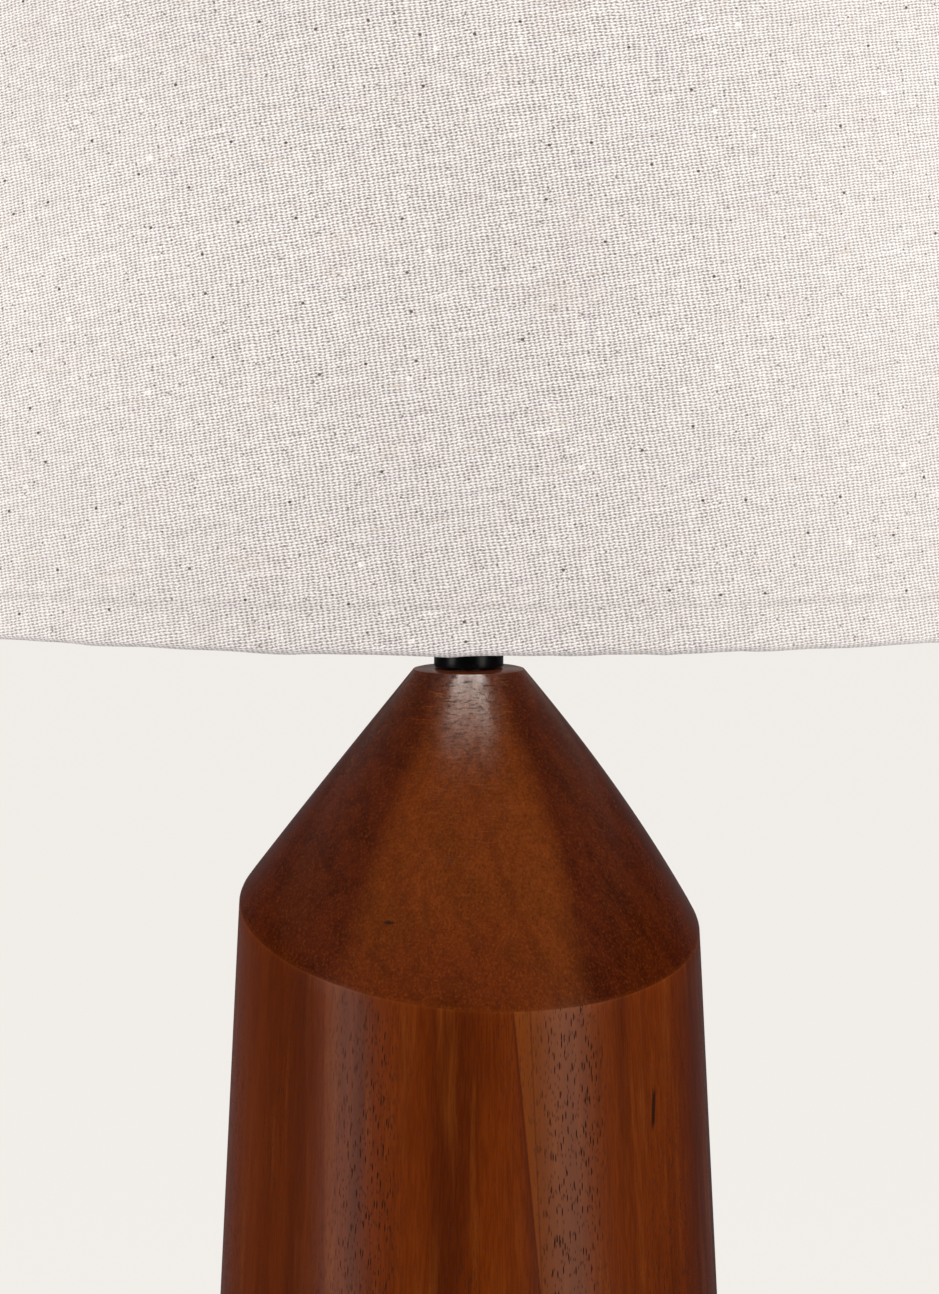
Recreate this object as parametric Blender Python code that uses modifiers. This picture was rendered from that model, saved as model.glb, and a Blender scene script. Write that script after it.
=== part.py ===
"""Tripod floor lamp: a turned wooden hub on three tapered legs, under a cloth drum shade.

Units are metres and +Z is up. The lamp's axis is the Z axis, the floor is z = 0 and
the lamp's front faces -Y.
"""

import math

import bmesh
import bpy
from mathutils import Matrix, Vector

GAP = 0.0003  # clearance between faces that touch on the real lamp
FULL_TURN = 2 * math.pi
FINE_STEPS = 64
ROUND_STEPS = 24
SMALL_STEPS = 12
SMOOTH_ANGLE = math.radians(35)

# Hub: a column with a slight flare, cut by a slanted plane, under a cone with a flat top
HUB_BOTTOM_Z = 0.926
HUB_TOP_Z = 1.116
HUB_TOP_RADIUS = 0.0155
HUB_EDGE = 0.0012
SHOULDER_Z = HUB_TOP_Z - 0.0643
SHOULDER_RADIUS = 0.0606
SHOULDER_RISE_BACK = math.tan(math.radians(14.4))
SHOULDER_FALL_RIGHT = math.tan(math.radians(3.7))
COLUMN_FLARE = 0.0523
CONE_BULGE = 0.0013
CONE_BULGE_RIGHT = 0.0010
CONE_RINGS = 5

# Pocket under the hub, and the bore for the lamp pipe
POCKET_RADIUS = 0.0150
POCKET_DEPTH = 0.034
PIPE_RADIUS = 0.0050
PIPE_BORE = 0.0034
PIPE_CLEARANCE = 0.0003
PLATE_RADIUS = 0.0220
PLATE_THICKNESS = 0.0015
PLATE_SCREW_CIRCLE = 0.0185
SCREW_RADIUS = 0.0013
SCREW_HEAD_RADIUS = 0.0028
SCREW_HEAD_HEIGHT = 0.0018
SCREW_LENGTH = 0.0110

# Cord inlet at the back of the hub
INLET_Z = 0.9475
INLET_BORE = 0.0042
INLET_SEAT_Y = 0.0640
INLET_SEAT_RADIUS = 0.0080

# Legs
LEG_AZIMUTHS = [math.radians(angle) for angle in (-90.0, 30.0, 150.0)]
LEG_TOP_CIRCLE = 0.042
LEG_FOOT_CIRCLE = 0.187
LEG_SPLAY = math.atan2(LEG_FOOT_CIRCLE - LEG_TOP_CIRCLE, HUB_BOTTOM_Z)
LEG_LENGTH = HUB_BOTTOM_Z / math.cos(LEG_SPLAY)
LEG_TOP_RADIUS = 0.0180
LEG_FOOT_RADIUS = 0.0115
BOLT_RADIUS = 0.0040
BOLT_IN_LEG = 0.038
BOLT_IN_HUB = 0.025
INSERT_RADIUS = 0.0065
INSERT_LENGTH = 0.020
INSERT_RECESS = 0.0020
PAD_RADIUS = 0.0120
PAD_HEIGHT = 0.0060
PAD_PIN_RADIUS = 0.0016
PAD_PIN_LENGTH = 0.014

# Neck, saddle and socket, stacked up the axis
NECK_RADIUS = 0.0091
NECK_BOTTOM_Z = HUB_TOP_Z + GAP
NECK_TOP_Z = NECK_BOTTOM_Z + 0.026
SADDLE_THICKNESS = 0.0015
SADDLE_BOTTOM_Z = NECK_TOP_Z + GAP
SADDLE_TOP_Z = SADDLE_BOTTOM_Z + SADDLE_THICKNESS
SADDLE_DISC_RADIUS = 0.0110
PRONG_WIDTH = 0.0038
SOCKET_RADIUS = 0.0170
SOCKET_WALL = 0.0011
SOCKET_BOTTOM_Z = SADDLE_TOP_Z + GAP
SOCKET_JOIN_Z = SOCKET_BOTTOM_Z + 0.0216
SOCKET_TOP_Z = SOCKET_JOIN_Z + 0.040
INSULATOR_TOP_Z = SOCKET_JOIN_Z + 0.018
KNOB_Z = SOCKET_JOIN_Z + 0.0105
KNOB_SHAFT_RADIUS = 0.0022
KNOB_RADIUS = 0.0055
KNOB_INNER_END = 0.0085
KNOB_FACE_START = 0.0205
KNOB_FACE_END = 0.0340
SCREW_SHELL_RADIUS = 0.0146
SCREW_SHELL_WALL = 0.0009
CONTACT_RADIUS = 0.0040
CONTACT_HEIGHT = 0.0010

# Screw-in bulb
BULB_BASE_Z = INSULATOR_TOP_Z + GAP + CONTACT_HEIGHT + GAP
BULB_CAP_RADIUS = 0.0131
BULB_CAP_TOP_Z = BULB_BASE_Z + 0.027
BULB_HOUSING_TOP_Z = BULB_CAP_TOP_Z + 0.030
BULB_DOME_RADIUS = 0.030
BULB_WALL = 0.0012

# Harp
HARP_WIRE = 0.0016
HARP_FOOT_X = 0.0235
HARP_HALF_WIDTH = 0.058
HARP_TOP_Z = 1.3908
PRONG_TOP_Z = SADDLE_TOP_Z + 0.0140
HARP_FOOT_Z = PRONG_TOP_Z + GAP
SLEEVE_BORE = 0.0025
SLEEVE_RADIUS = 0.0034
SLEEVE_LENGTH = 0.0100
SLEEVE_BOTTOM_Z = SADDLE_TOP_Z + 0.0085
POST_BASE_RADIUS = 0.0060
POST_BASE_HEIGHT = 0.0020
POST_BOTTOM_Z = HARP_TOP_Z + HARP_WIRE + GAP
POST_TOP_Z = 1.412
STUD_RADIUS = 0.0030

# Shade
SHADE_BOTTOM_Z = 1.140
SHADE_TOP_Z = 1.400
SHADE_BOTTOM_RADIUS = 0.200
SHADE_TOP_RADIUS = 0.171
SHADE_SLOPE = (SHADE_BOTTOM_RADIUS - SHADE_TOP_RADIUS) / (SHADE_TOP_Z - SHADE_BOTTOM_Z)
CLOTH_THICKNESS = 0.0008
LINER_THICKNESS = 0.0006
LINER_INSET_Z = 0.0015
RING_WIRE = 0.0015
RING_INSET_Z = 0.0035
RING_SIDES = 6
ARM_WIRE = 0.0014
ARM_AZIMUTHS = [math.radians(angle) for angle in (90.0, 210.0, 330.0)]
WASHER_BOTTOM_Z = POST_BOTTOM_Z + POST_BASE_HEIGHT + GAP
WASHER_THICKNESS = 0.0030
WASHER_RADIUS = 0.0110
WASHER_BORE = 0.0035
FINIAL_BOTTOM_Z = WASHER_BOTTOM_Z + WASHER_THICKNESS + 0.0005
FINIAL_BORE = 0.0034
FINIAL_RADIUS = 0.0085
FINIAL_BALL_RISE = 0.0150
FINIAL_WAIST_RADIUS = 0.0055
FINIAL_WAIST_TOP = 0.0070
FINIAL_FLANGE_RADIUS = 0.0075
FINIAL_FLANGE_HEIGHT = 0.0020
BORE_END_GAP = 0.0010


def clear_scene():
    for obj in list(bpy.data.objects):
        bpy.data.objects.remove(obj, do_unlink=True)


def make_collection(name):
    collection = bpy.data.collections.new(name)
    bpy.context.scene.collection.children.link(collection)
    return collection


def make_material(name, colour, roughness, metallic=0.0):
    material = bpy.data.materials.new(name)
    material.use_nodes = True
    shader = material.node_tree.nodes["Principled BSDF"]
    shader.inputs["Base Color"].default_value = (*colour, 1.0)
    shader.inputs["Roughness"].default_value = roughness
    shader.inputs["Metallic"].default_value = metallic
    material.diffuse_color = (*colour, 1.0)
    return material


def add_object(name, mesh, collection, material=None):
    obj = bpy.data.objects.new(name, mesh)
    collection.objects.link(obj)
    if material is not None and not mesh.materials:
        mesh.materials.append(material)
    return obj


def mesh_from(bm, name, smooth=True):
    mesh = bpy.data.meshes.new(name)
    bm.to_mesh(mesh)
    bm.free()
    if smooth:
        mesh.shade_smooth()
        mesh.set_sharp_from_angle(angle=SMOOTH_ANGLE)
    return mesh


def turned(name, profile, material, closed=False, steps=ROUND_STEPS):
    """A turned piece: the profile of (radius, height) runs down its outer side."""
    bm = bmesh.new()
    points = [bm.verts.new((radius, 0.0, height)) for radius, height in profile]
    for first, second in zip(points, points[1:]):
        bm.edges.new((first, second))
    if closed:
        bm.edges.new((points[-1], points[0]))
    obj = add_object(name, mesh_from(bm, name, smooth=False), lamp, material)
    screw = obj.modifiers.new("turn", "SCREW")
    screw.steps = steps
    screw.render_steps = steps
    screw.use_merge_vertices = True
    screw.merge_threshold = 0.00001
    screw.use_smooth_shade = True
    return obj


def tube_profile(outer, inner, bottom, top, edge=0.0):
    """The closed profile of a plain tube, with its outer edges chamfered by edge."""
    if edge > 0.0:
        outside = [
            (outer - edge, top),
            (outer, top - edge),
            (outer, bottom + edge),
            (outer - edge, bottom),
        ]
    else:
        outside = [(outer, top), (outer, bottom)]
    return outside + [(inner, bottom), (inner, top)]


def cylinder_mesh(name, radius, bottom, top, segments=ROUND_STEPS):
    """A solid cylinder along Z between two heights."""
    bm = bmesh.new()
    middle = Matrix.Translation((0.0, 0.0, (bottom + top) / 2))
    bmesh.ops.create_cone(
        bm,
        cap_ends=True,
        segments=segments,
        radius1=radius,
        radius2=radius,
        depth=top - bottom,
        matrix=middle,
    )
    return mesh_from(bm, name)


def make_cutter(name, mesh, location=(0.0, 0.0, 0.0), rotation=(0.0, 0.0, 0.0)):
    cutter = add_object(name, mesh, cutters)
    cutter.location = location
    cutter.rotation_euler = rotation
    cutter.hide_render = True
    cutter.display_type = "WIRE"
    return cutter


def use_boolean(obj, other, operation="DIFFERENCE"):
    boolean = obj.modifiers.new(operation.lower(), "BOOLEAN")
    boolean.operation = operation
    boolean.object = other
    boolean.solver = "EXACT"


def leg_top(azimuth):
    return (LEG_TOP_CIRCLE * math.cos(azimuth), LEG_TOP_CIRCLE * math.sin(azimuth), HUB_BOTTOM_Z)


def leg_turn(azimuth):
    """Turns local +Z up a leg's own axis."""
    return (0.0, -LEG_SPLAY, azimuth)


def column_radius(height):
    return SHOULDER_RADIUS + COLUMN_FLARE * (SHOULDER_Z - height)


def shoulder_point(azimuth):
    """Where the slanted plane cuts the flared column."""
    slope = SHOULDER_RISE_BACK * math.sin(azimuth) - SHOULDER_FALL_RIGHT * math.cos(azimuth)
    radius = SHOULDER_RADIUS / (1.0 + COLUMN_FLARE * slope)
    return radius, SHOULDER_Z + slope * radius


def hub_rings():
    """The hub's rings from its underside to its flat top, as functions of the azimuth."""
    rings = [
        lambda azimuth: (column_radius(HUB_BOTTOM_Z) - HUB_EDGE, HUB_BOTTOM_Z),
        lambda azimuth: (column_radius(HUB_BOTTOM_Z + HUB_EDGE), HUB_BOTTOM_Z + HUB_EDGE),
        shoulder_point,
    ]

    def cone_ring(share):
        def ring(azimuth):
            low_radius, low_height = shoulder_point(azimuth)
            high_radius, high_height = HUB_TOP_RADIUS, HUB_TOP_Z - HUB_EDGE
            bulge = (CONE_BULGE + CONE_BULGE_RIGHT * math.cos(azimuth)) * 4.0 * share * (1.0 - share)
            radius = low_radius + (high_radius - low_radius) * share + bulge
            return radius, low_height + (high_height - low_height) * share

        return ring

    rings += [cone_ring(step / CONE_RINGS) for step in range(1, CONE_RINGS + 1)]
    rings.append(lambda azimuth: (HUB_TOP_RADIUS - HUB_EDGE, HUB_TOP_Z))
    return rings


def make_hub(material):
    bm = bmesh.new()
    loops = []
    for ring in hub_rings():
        loop = []
        for step in range(FINE_STEPS):
            azimuth = FULL_TURN * step / FINE_STEPS
            radius, height = ring(azimuth)
            loop.append(bm.verts.new((radius * math.cos(azimuth), radius * math.sin(azimuth), height)))
        loops.append(loop)
    for lower, upper in zip(loops, loops[1:]):
        for step in range(FINE_STEPS):
            following = (step + 1) % FINE_STEPS
            bm.faces.new((lower[step], lower[following], upper[following], upper[step]))
    bm.faces.new(loops[0][::-1])
    bm.faces.new(loops[-1])
    hub = add_object("hub", mesh_from(bm, "hub"), lamp, material)

    pocket_top = HUB_BOTTOM_Z + POCKET_DEPTH
    below = HUB_BOTTOM_Z - 0.005
    pocket = cylinder_mesh("pocket_cut", POCKET_RADIUS, below, pocket_top)
    use_boolean(hub, make_cutter("pocket_cut", pocket))
    bore = cylinder_mesh("pipe_cut", PIPE_RADIUS + PIPE_CLEARANCE, below, HUB_TOP_Z + 0.005)
    use_boolean(hub, make_cutter("pipe_cut", bore))
    channel = cylinder_mesh("channel_cut", INLET_BORE + GAP, 0.008, 0.080, SMALL_STEPS)
    backwards = (-math.pi / 2, 0.0, 0.0)
    use_boolean(hub, make_cutter("channel_cut", channel, (0.0, 0.0, INLET_Z), backwards))
    seat = cylinder_mesh("seat_cut", INLET_SEAT_RADIUS, INLET_SEAT_Y, 0.080)
    use_boolean(hub, make_cutter("seat_cut", seat, (0.0, 0.0, INLET_Z), backwards))

    insert_end = INSERT_RECESS + BOLT_IN_HUB + 0.003
    insert = cylinder_mesh("insert_cut", INSERT_RADIUS + GAP, -0.006, insert_end)
    pilot_end = HUB_BOTTOM_Z + SCREW_LENGTH + GAP
    pilot = cylinder_mesh("pilot_cut", SCREW_RADIUS + GAP, below, pilot_end, SMALL_STEPS)
    for index, azimuth in enumerate(LEG_AZIMUTHS, start=1):
        cutter = make_cutter(f"insert_cut_{index}", insert, leg_top(azimuth), leg_turn(azimuth))
        use_boolean(hub, cutter)
        use_boolean(hub, make_cutter(f"pilot_cut_{index}", pilot, plate_screw_place(azimuth)))
    return hub


def plate_screw_place(leg_azimuth):
    """Plate screws stand between the legs, opposite each leg."""
    azimuth = leg_azimuth + math.pi
    return (PLATE_SCREW_CIRCLE * math.cos(azimuth), PLATE_SCREW_CIRCLE * math.sin(azimuth), 0.0)


def leg_mesh():
    """A tapered round leg about its own axis, cut level at the hub and at the floor."""
    spare = 0.010
    taper = (LEG_TOP_RADIUS - LEG_FOOT_RADIUS) / LEG_LENGTH
    bm = bmesh.new()
    bmesh.ops.create_cone(
        bm,
        cap_ends=True,
        segments=ROUND_STEPS,
        radius1=LEG_FOOT_RADIUS - taper * spare,
        radius2=LEG_TOP_RADIUS + taper * spare,
        depth=LEG_LENGTH + 2 * spare,
        matrix=Matrix.Translation((0.0, 0.0, -LEG_LENGTH / 2)),
    )
    level = Matrix.Rotation(LEG_SPLAY, 3, "Y") @ Vector((0.0, 0.0, 1.0))
    cuts = [(-GAP, level), (GAP + PAD_HEIGHT - HUB_BOTTOM_Z, -level)]
    for height, outward in cuts:
        cut = bmesh.ops.bisect_plane(
            bm,
            geom=bm.verts[:] + bm.edges[:] + bm.faces[:],
            plane_co=level * height,
            plane_no=outward,
            clear_outer=True,
        )
        edges = [item for item in cut["geom_cut"] if isinstance(item, bmesh.types.BMEdge)]
        bmesh.ops.contextual_create(bm, geom=edges)
    bmesh.ops.recalc_face_normals(bm, faces=bm.faces[:])
    return mesh_from(bm, "leg")


def make_legs(wood, steel, brass, rubber):
    mesh = leg_mesh()
    bolt_hole = cylinder_mesh("bolt_cut", BOLT_RADIUS + GAP, -BOLT_IN_LEG - 0.002, 0.010, SMALL_STEPS)
    pin_end = PAD_HEIGHT + PAD_PIN_LENGTH + 0.002
    pin_hole = cylinder_mesh("pin_cut", PAD_PIN_RADIUS + GAP, -0.002, pin_end, SMALL_STEPS)
    for index, azimuth in enumerate(LEG_AZIMUTHS, start=1):
        place, turn = leg_top(azimuth), leg_turn(azimuth)
        leg = add_object(f"leg_{index}", mesh, lamp, wood)
        leg.location = place
        leg.rotation_euler = turn
        foot = (LEG_FOOT_CIRCLE * math.cos(azimuth), LEG_FOOT_CIRCLE * math.sin(azimuth), 0.0)
        use_boolean(leg, make_cutter(f"bolt_cut_{index}", bolt_hole, place, turn))
        use_boolean(leg, make_cutter(f"pin_cut_{index}", pin_hole, foot))

        bolt = turned(f"leg_bolt_{index}", bolt_profile(), steel, steps=SMALL_STEPS)
        bolt.location = place
        bolt.rotation_euler = turn
        recess = INSERT_RECESS
        shape = tube_profile(INSERT_RADIUS, BOLT_RADIUS + GAP, recess, recess + INSERT_LENGTH, 0.0006)
        insert = turned(f"leg_insert_{index}", shape, brass, closed=True)
        insert.location = place
        insert.rotation_euler = turn
        pad = turned(f"foot_pad_{index}", pad_profile(), rubber)
        pad.location = foot


def bolt_profile():
    """A headless bolt about z = 0 at the joint, with chamfered ends."""
    chamfer = 0.0010
    top, bottom = INSERT_RECESS + BOLT_IN_HUB, -BOLT_IN_LEG
    return [
        (0.0, top),
        (BOLT_RADIUS - chamfer, top),
        (BOLT_RADIUS, top - chamfer),
        (BOLT_RADIUS, bottom + chamfer),
        (BOLT_RADIUS - chamfer, bottom),
        (0.0, bottom),
    ]


def pad_profile():
    """A round glide with a pin that goes up into the leg."""
    edge = 0.0015
    pin_top = PAD_HEIGHT + PAD_PIN_LENGTH
    return [
        (0.0, pin_top),
        (PAD_PIN_RADIUS * 0.5, pin_top),
        (PAD_PIN_RADIUS, pin_top - 0.003),
        (PAD_PIN_RADIUS, PAD_HEIGHT),
        (PAD_RADIUS - edge * 0.5, PAD_HEIGHT),
        (PAD_RADIUS, PAD_HEIGHT - edge * 0.5),
        (PAD_RADIUS, edge),
        (PAD_RADIUS - edge, 0.0),
        (0.0, 0.0),
    ]


def make_pocket_parts(steel):
    """The cover plate with its screws, and the washer and nut that clamp the lamp pipe."""
    plate_top = HUB_BOTTOM_Z - GAP
    plate_bottom = plate_top - PLATE_THICKNESS
    plate_mesh = cylinder_mesh("base_plate", PLATE_RADIUS, plate_bottom, plate_top)
    plate = add_object("base_plate", plate_mesh, lamp, steel)
    hole_bottom, hole_top = plate_bottom - 0.002, plate_top + 0.002
    hole = cylinder_mesh("plate_cut", SCREW_RADIUS + GAP, hole_bottom, hole_top, SMALL_STEPS)
    head_top = plate_bottom - GAP
    head_bottom = head_top - SCREW_HEAD_HEIGHT
    tip = HUB_BOTTOM_Z + SCREW_LENGTH
    profile = [
        (0.0, tip),
        (SCREW_RADIUS, tip - 0.0020),
        (SCREW_RADIUS, head_top),
        (SCREW_HEAD_RADIUS, head_top),
        (SCREW_HEAD_RADIUS, head_bottom + 0.0007),
        (SCREW_HEAD_RADIUS - 0.0007, head_bottom),
        (0.0, head_bottom),
    ]
    for index, azimuth in enumerate(LEG_AZIMUTHS, start=1):
        place = plate_screw_place(azimuth)
        use_boolean(plate, make_cutter(f"plate_cut_{index}", hole, place))
        screw = turned(f"plate_screw_{index}", profile, steel, steps=SMALL_STEPS)
        screw.location = place

    washer_top = HUB_BOTTOM_Z + POCKET_DEPTH - GAP
    washer_bottom = washer_top - 0.002
    bore = PIPE_RADIUS + PIPE_CLEARANCE
    turned("pipe_washer", tube_profile(0.0130, bore, washer_bottom, washer_top), steel, closed=True)
    nut_top = washer_bottom - GAP
    nut = add_object("pipe_nut", cylinder_mesh("pipe_nut", 0.0085, nut_top - 0.006, nut_top, 6), lamp, steel)
    nut_bore = cylinder_mesh("nut_cut", bore, nut_top - 0.010, nut_top + 0.005)
    use_boolean(nut, make_cutter("nut_cut", nut_bore))
    pipe = tube_profile(PIPE_RADIUS, PIPE_BORE, nut_top - 0.010, SOCKET_BOTTOM_Z + 0.009, 0.0005)
    turned("lamp_pipe", pipe, steel, closed=True)


def make_grommet(rubber):
    """A flanged bush about its own axis, turned so that it faces backwards."""
    bore, flange = 0.0028, 0.0070
    seat = INLET_SEAT_Y + GAP
    face = seat + 0.0025
    profile = [
        (bore + 0.0008, face),
        (flange - 0.0010, face),
        (flange, face - 0.0010),
        (flange, seat),
        (INLET_BORE, seat),
        (INLET_BORE, seat - 0.012),
        (bore, seat - 0.012),
        (bore, face - 0.0008),
    ]
    grommet = turned("cord_grommet", profile, rubber, closed=True)
    grommet.location = (0.0, 0.0, INLET_Z)
    grommet.rotation_euler = (-math.pi / 2, 0.0, 0.0)


def make_neck(black):
    bore = PIPE_RADIUS + PIPE_CLEARANCE
    turned("neck", tube_profile(NECK_RADIUS, bore, NECK_BOTTOM_Z, NECK_TOP_Z, 0.0006), black, closed=True)


def make_saddle(steel):
    """A round plate with a narrow strip across it, whose ends are bent up as prongs."""
    half = HARP_FOOT_X + SADDLE_THICKNESS / 2
    inner = half - SADDLE_THICKNESS
    outline = [
        (-half, PRONG_TOP_Z),
        (-half, SADDLE_BOTTOM_Z),
        (half, SADDLE_BOTTOM_Z),
        (half, PRONG_TOP_Z),
        (inner, PRONG_TOP_Z),
        (inner, SADDLE_TOP_Z),
        (-inner, SADDLE_TOP_Z),
        (-inner, PRONG_TOP_Z),
    ]
    bm = bmesh.new()
    face = bm.faces.new([bm.verts.new((x, -PRONG_WIDTH / 2, z)) for x, z in outline])
    made = bmesh.ops.extrude_face_region(bm, geom=[face])
    moved = [item for item in made["geom"] if isinstance(item, bmesh.types.BMVert)]
    bmesh.ops.translate(bm, verts=moved, vec=(0.0, PRONG_WIDTH, 0.0))
    bmesh.ops.recalc_face_normals(bm, faces=bm.faces[:])
    saddle = add_object("harp_saddle", mesh_from(bm, "harp_saddle"), lamp, steel)
    disc = cylinder_mesh("saddle_disc", SADDLE_DISC_RADIUS, SADDLE_BOTTOM_Z, SADDLE_TOP_Z)
    use_boolean(saddle, make_cutter("saddle_disc", disc), "UNION")
    bore = PIPE_RADIUS + PIPE_CLEARANCE
    hole = cylinder_mesh("saddle_cut", bore, SADDLE_BOTTOM_Z - 0.004, SADDLE_TOP_Z + 0.004)
    use_boolean(saddle, make_cutter("saddle_cut", hole))


def make_socket(black, brass, porcelain):
    bore = PIPE_RADIUS + PIPE_CLEARANCE
    bottom, join = SOCKET_BOTTOM_Z, SOCKET_JOIN_Z - GAP
    inner = SOCKET_RADIUS - SOCKET_WALL
    cap = [
        (inner, join),
        (SOCKET_RADIUS, join),
        (SOCKET_RADIUS, bottom + 0.0100),
        (SOCKET_RADIUS - 0.0040, bottom + 0.0030),
        (0.0085, bottom),
        (bore, bottom),
        (bore, bottom + SOCKET_WALL),
        (0.0080, bottom + SOCKET_WALL),
        (SOCKET_RADIUS - 0.0050, bottom + 0.0040),
        (inner, bottom + 0.0105),
    ]
    turned("socket_cap", cap, black, closed=True)
    sleeve = tube_profile(SOCKET_RADIUS, inner, SOCKET_JOIN_Z, SOCKET_TOP_Z, 0.0004)
    shell = turned("socket_shell", sleeve, black, closed=True)
    forwards = (math.pi / 2, 0.0, 0.0)
    place = (0.0, 0.0, KNOB_Z)
    shaft_hole = cylinder_mesh("shaft_cut", KNOB_SHAFT_RADIUS + GAP, 0.0078, 0.020, SMALL_STEPS)
    shaft_cut = make_cutter("shaft_cut", shaft_hole, place, forwards)
    use_boolean(shell, shaft_cut)
    base = SOCKET_JOIN_Z + GAP
    body = tube_profile(inner - GAP, 0.0020, base, INSULATOR_TOP_Z, 0.0005)
    insulator = turned("socket_insulator", body, porcelain, closed=True)
    use_boolean(insulator, shaft_cut)
    low, high = INSULATOR_TOP_Z + GAP, SOCKET_TOP_Z - 0.0015
    thread = tube_profile(SCREW_SHELL_RADIUS, SCREW_SHELL_RADIUS - SCREW_SHELL_WALL, low, high)
    turned("screw_shell", thread, brass, closed=True)
    contact_top = low + CONTACT_HEIGHT
    contact = [(0.0, contact_top), (CONTACT_RADIUS, contact_top), (CONTACT_RADIUS, low), (0.0, low)]
    turned("centre_contact", contact, brass, steps=SMALL_STEPS)


def make_knob(black):
    """Shaft and grip in one turned piece, about its own axis, facing forwards."""
    edge = 0.0010
    profile = [
        (0.0, KNOB_FACE_END),
        (KNOB_RADIUS - edge, KNOB_FACE_END),
        (KNOB_RADIUS, KNOB_FACE_END - edge),
        (KNOB_RADIUS, KNOB_FACE_START + edge),
        (KNOB_RADIUS - edge, KNOB_FACE_START),
        (KNOB_SHAFT_RADIUS, KNOB_FACE_START),
        (KNOB_SHAFT_RADIUS, KNOB_INNER_END),
        (0.0, KNOB_INNER_END),
    ]
    knob = turned("switch_knob", profile, black, steps=SMALL_STEPS)
    knob.location = (0.0, 0.0, KNOB_Z)
    knob.rotation_euler = (math.pi / 2, 0.0, 0.0)


def make_bulb(brass, white, opal):
    base, rim = BULB_BASE_Z, BULB_CAP_TOP_Z
    cap = [
        (0.0, rim),
        (BULB_CAP_RADIUS, rim),
        (BULB_CAP_RADIUS, base + 0.0050),
        (0.0045, base + 0.0010),
        (0.0040, base),
        (0.0, base),
    ]
    turned("bulb_cap", cap, brass)
    low, high = rim + GAP, BULB_HOUSING_TOP_Z
    housing = [
        (0.0, high),
        (BULB_DOME_RADIUS - 0.0035, high),
        (BULB_DOME_RADIUS - 0.0040, high - 0.004),
        (0.0200, low + 0.010),
        (BULB_CAP_RADIUS + 0.0020, low + 0.002),
        (BULB_CAP_RADIUS + 0.0010, low),
        (0.0, low),
    ]
    turned("bulb_housing", housing, white)
    rise = 0.0135
    centre = high + GAP + rise
    start = math.asin(-rise / BULB_DOME_RADIUS)
    arc_steps = 7
    angles = [math.pi / 2 + (start - math.pi / 2) * step / arc_steps for step in range(arc_steps + 1)]
    outer = [(BULB_DOME_RADIUS * math.cos(a), centre + BULB_DOME_RADIUS * math.sin(a)) for a in angles]
    thin = BULB_DOME_RADIUS - BULB_WALL
    inner = [(thin * math.cos(a), centre + thin * math.sin(a)) for a in angles]
    inner[-1] = (outer[-1][0] - BULB_WALL, outer[-1][1])
    outer[0] = (0.0, outer[0][1])
    inner[0] = (0.0, inner[0][1])
    turned("bulb_dome", outer + inner[::-1], opal)


def make_harp(brass):
    """A planar bow of wire: straight feet, a wide belly and a flat top under the post."""
    half_path = [
        ((HARP_FOOT_X, HARP_FOOT_Z), (0.0, 0.006)),
        ((HARP_FOOT_X, HARP_FOOT_Z + 0.020), (0.0, 0.010)),
        ((HARP_HALF_WIDTH, HARP_FOOT_Z + 0.095), (0.0, 0.035)),
        ((0.030, HARP_TOP_Z - 0.010), (-0.012, 0.009)),
    ]
    top = [((0.0, HARP_TOP_Z), (-0.012, 0.0))]
    mirrored = [((-x, z), (dx, -dz)) for (x, z), (dx, dz) in half_path[::-1]]
    path = half_path + top + mirrored
    curve = bpy.data.curves.new("harp", "CURVE")
    curve.dimensions = "3D"
    curve.bevel_depth = HARP_WIRE
    curve.bevel_resolution = 2
    curve.resolution_u = 7
    curve.use_fill_caps = True
    spline = curve.splines.new("BEZIER")
    spline.bezier_points.add(len(path) - 1)
    for point, ((x, z), (dx, dz)) in zip(spline.bezier_points, path):
        point.handle_left_type = "FREE"
        point.handle_right_type = "FREE"
        point.co = (x, 0.0, z)
        point.handle_left = (x - dx, 0.0, z - dz)
        point.handle_right = (x + dx, 0.0, z + dz)
    curve.materials.append(brass)
    lamp.objects.link(bpy.data.objects.new("harp", curve))

    base_top = POST_BOTTOM_Z + POST_BASE_HEIGHT
    post = [
        (0.0, POST_TOP_Z),
        (STUD_RADIUS - 0.0006, POST_TOP_Z),
        (STUD_RADIUS, POST_TOP_Z - 0.0006),
        (STUD_RADIUS, base_top),
        (POST_BASE_RADIUS, base_top),
        (POST_BASE_RADIUS, POST_BOTTOM_Z),
        (0.0, POST_BOTTOM_Z),
    ]
    turned("harp_post", post, brass, steps=SMALL_STEPS)
    for index, side in enumerate((-1.0, 1.0), start=1):
        shape = tube_profile(SLEEVE_RADIUS, SLEEVE_BORE, 0.0, SLEEVE_LENGTH, 0.0004)
        sleeve = turned(f"harp_sleeve_{index}", shape, brass, closed=True, steps=SMALL_STEPS)
        sleeve.location = (side * HARP_FOOT_X, 0.0, SLEEVE_BOTTOM_Z)


def shade_radius(height):
    return SHADE_BOTTOM_RADIUS - SHADE_SLOPE * (height - SHADE_BOTTOM_Z)


def shade_shell(name, inset, thickness, bottom, top, material):
    outer_top, outer_bottom = shade_radius(top) - inset, shade_radius(bottom) - inset
    profile = [
        (outer_top, top),
        (outer_bottom, bottom),
        (outer_bottom - thickness, bottom),
        (outer_top - thickness, top),
    ]
    return turned(name, profile, material, closed=True, steps=FINE_STEPS)


def ring_radius(height):
    """The middle of a wire ring that lies against the liner's inner face."""
    wall = CLOTH_THICKNESS + GAP + LINER_THICKNESS + GAP
    spare = 0.0003
    return shade_radius(height + RING_WIRE) - wall - RING_WIRE - spare


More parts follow.
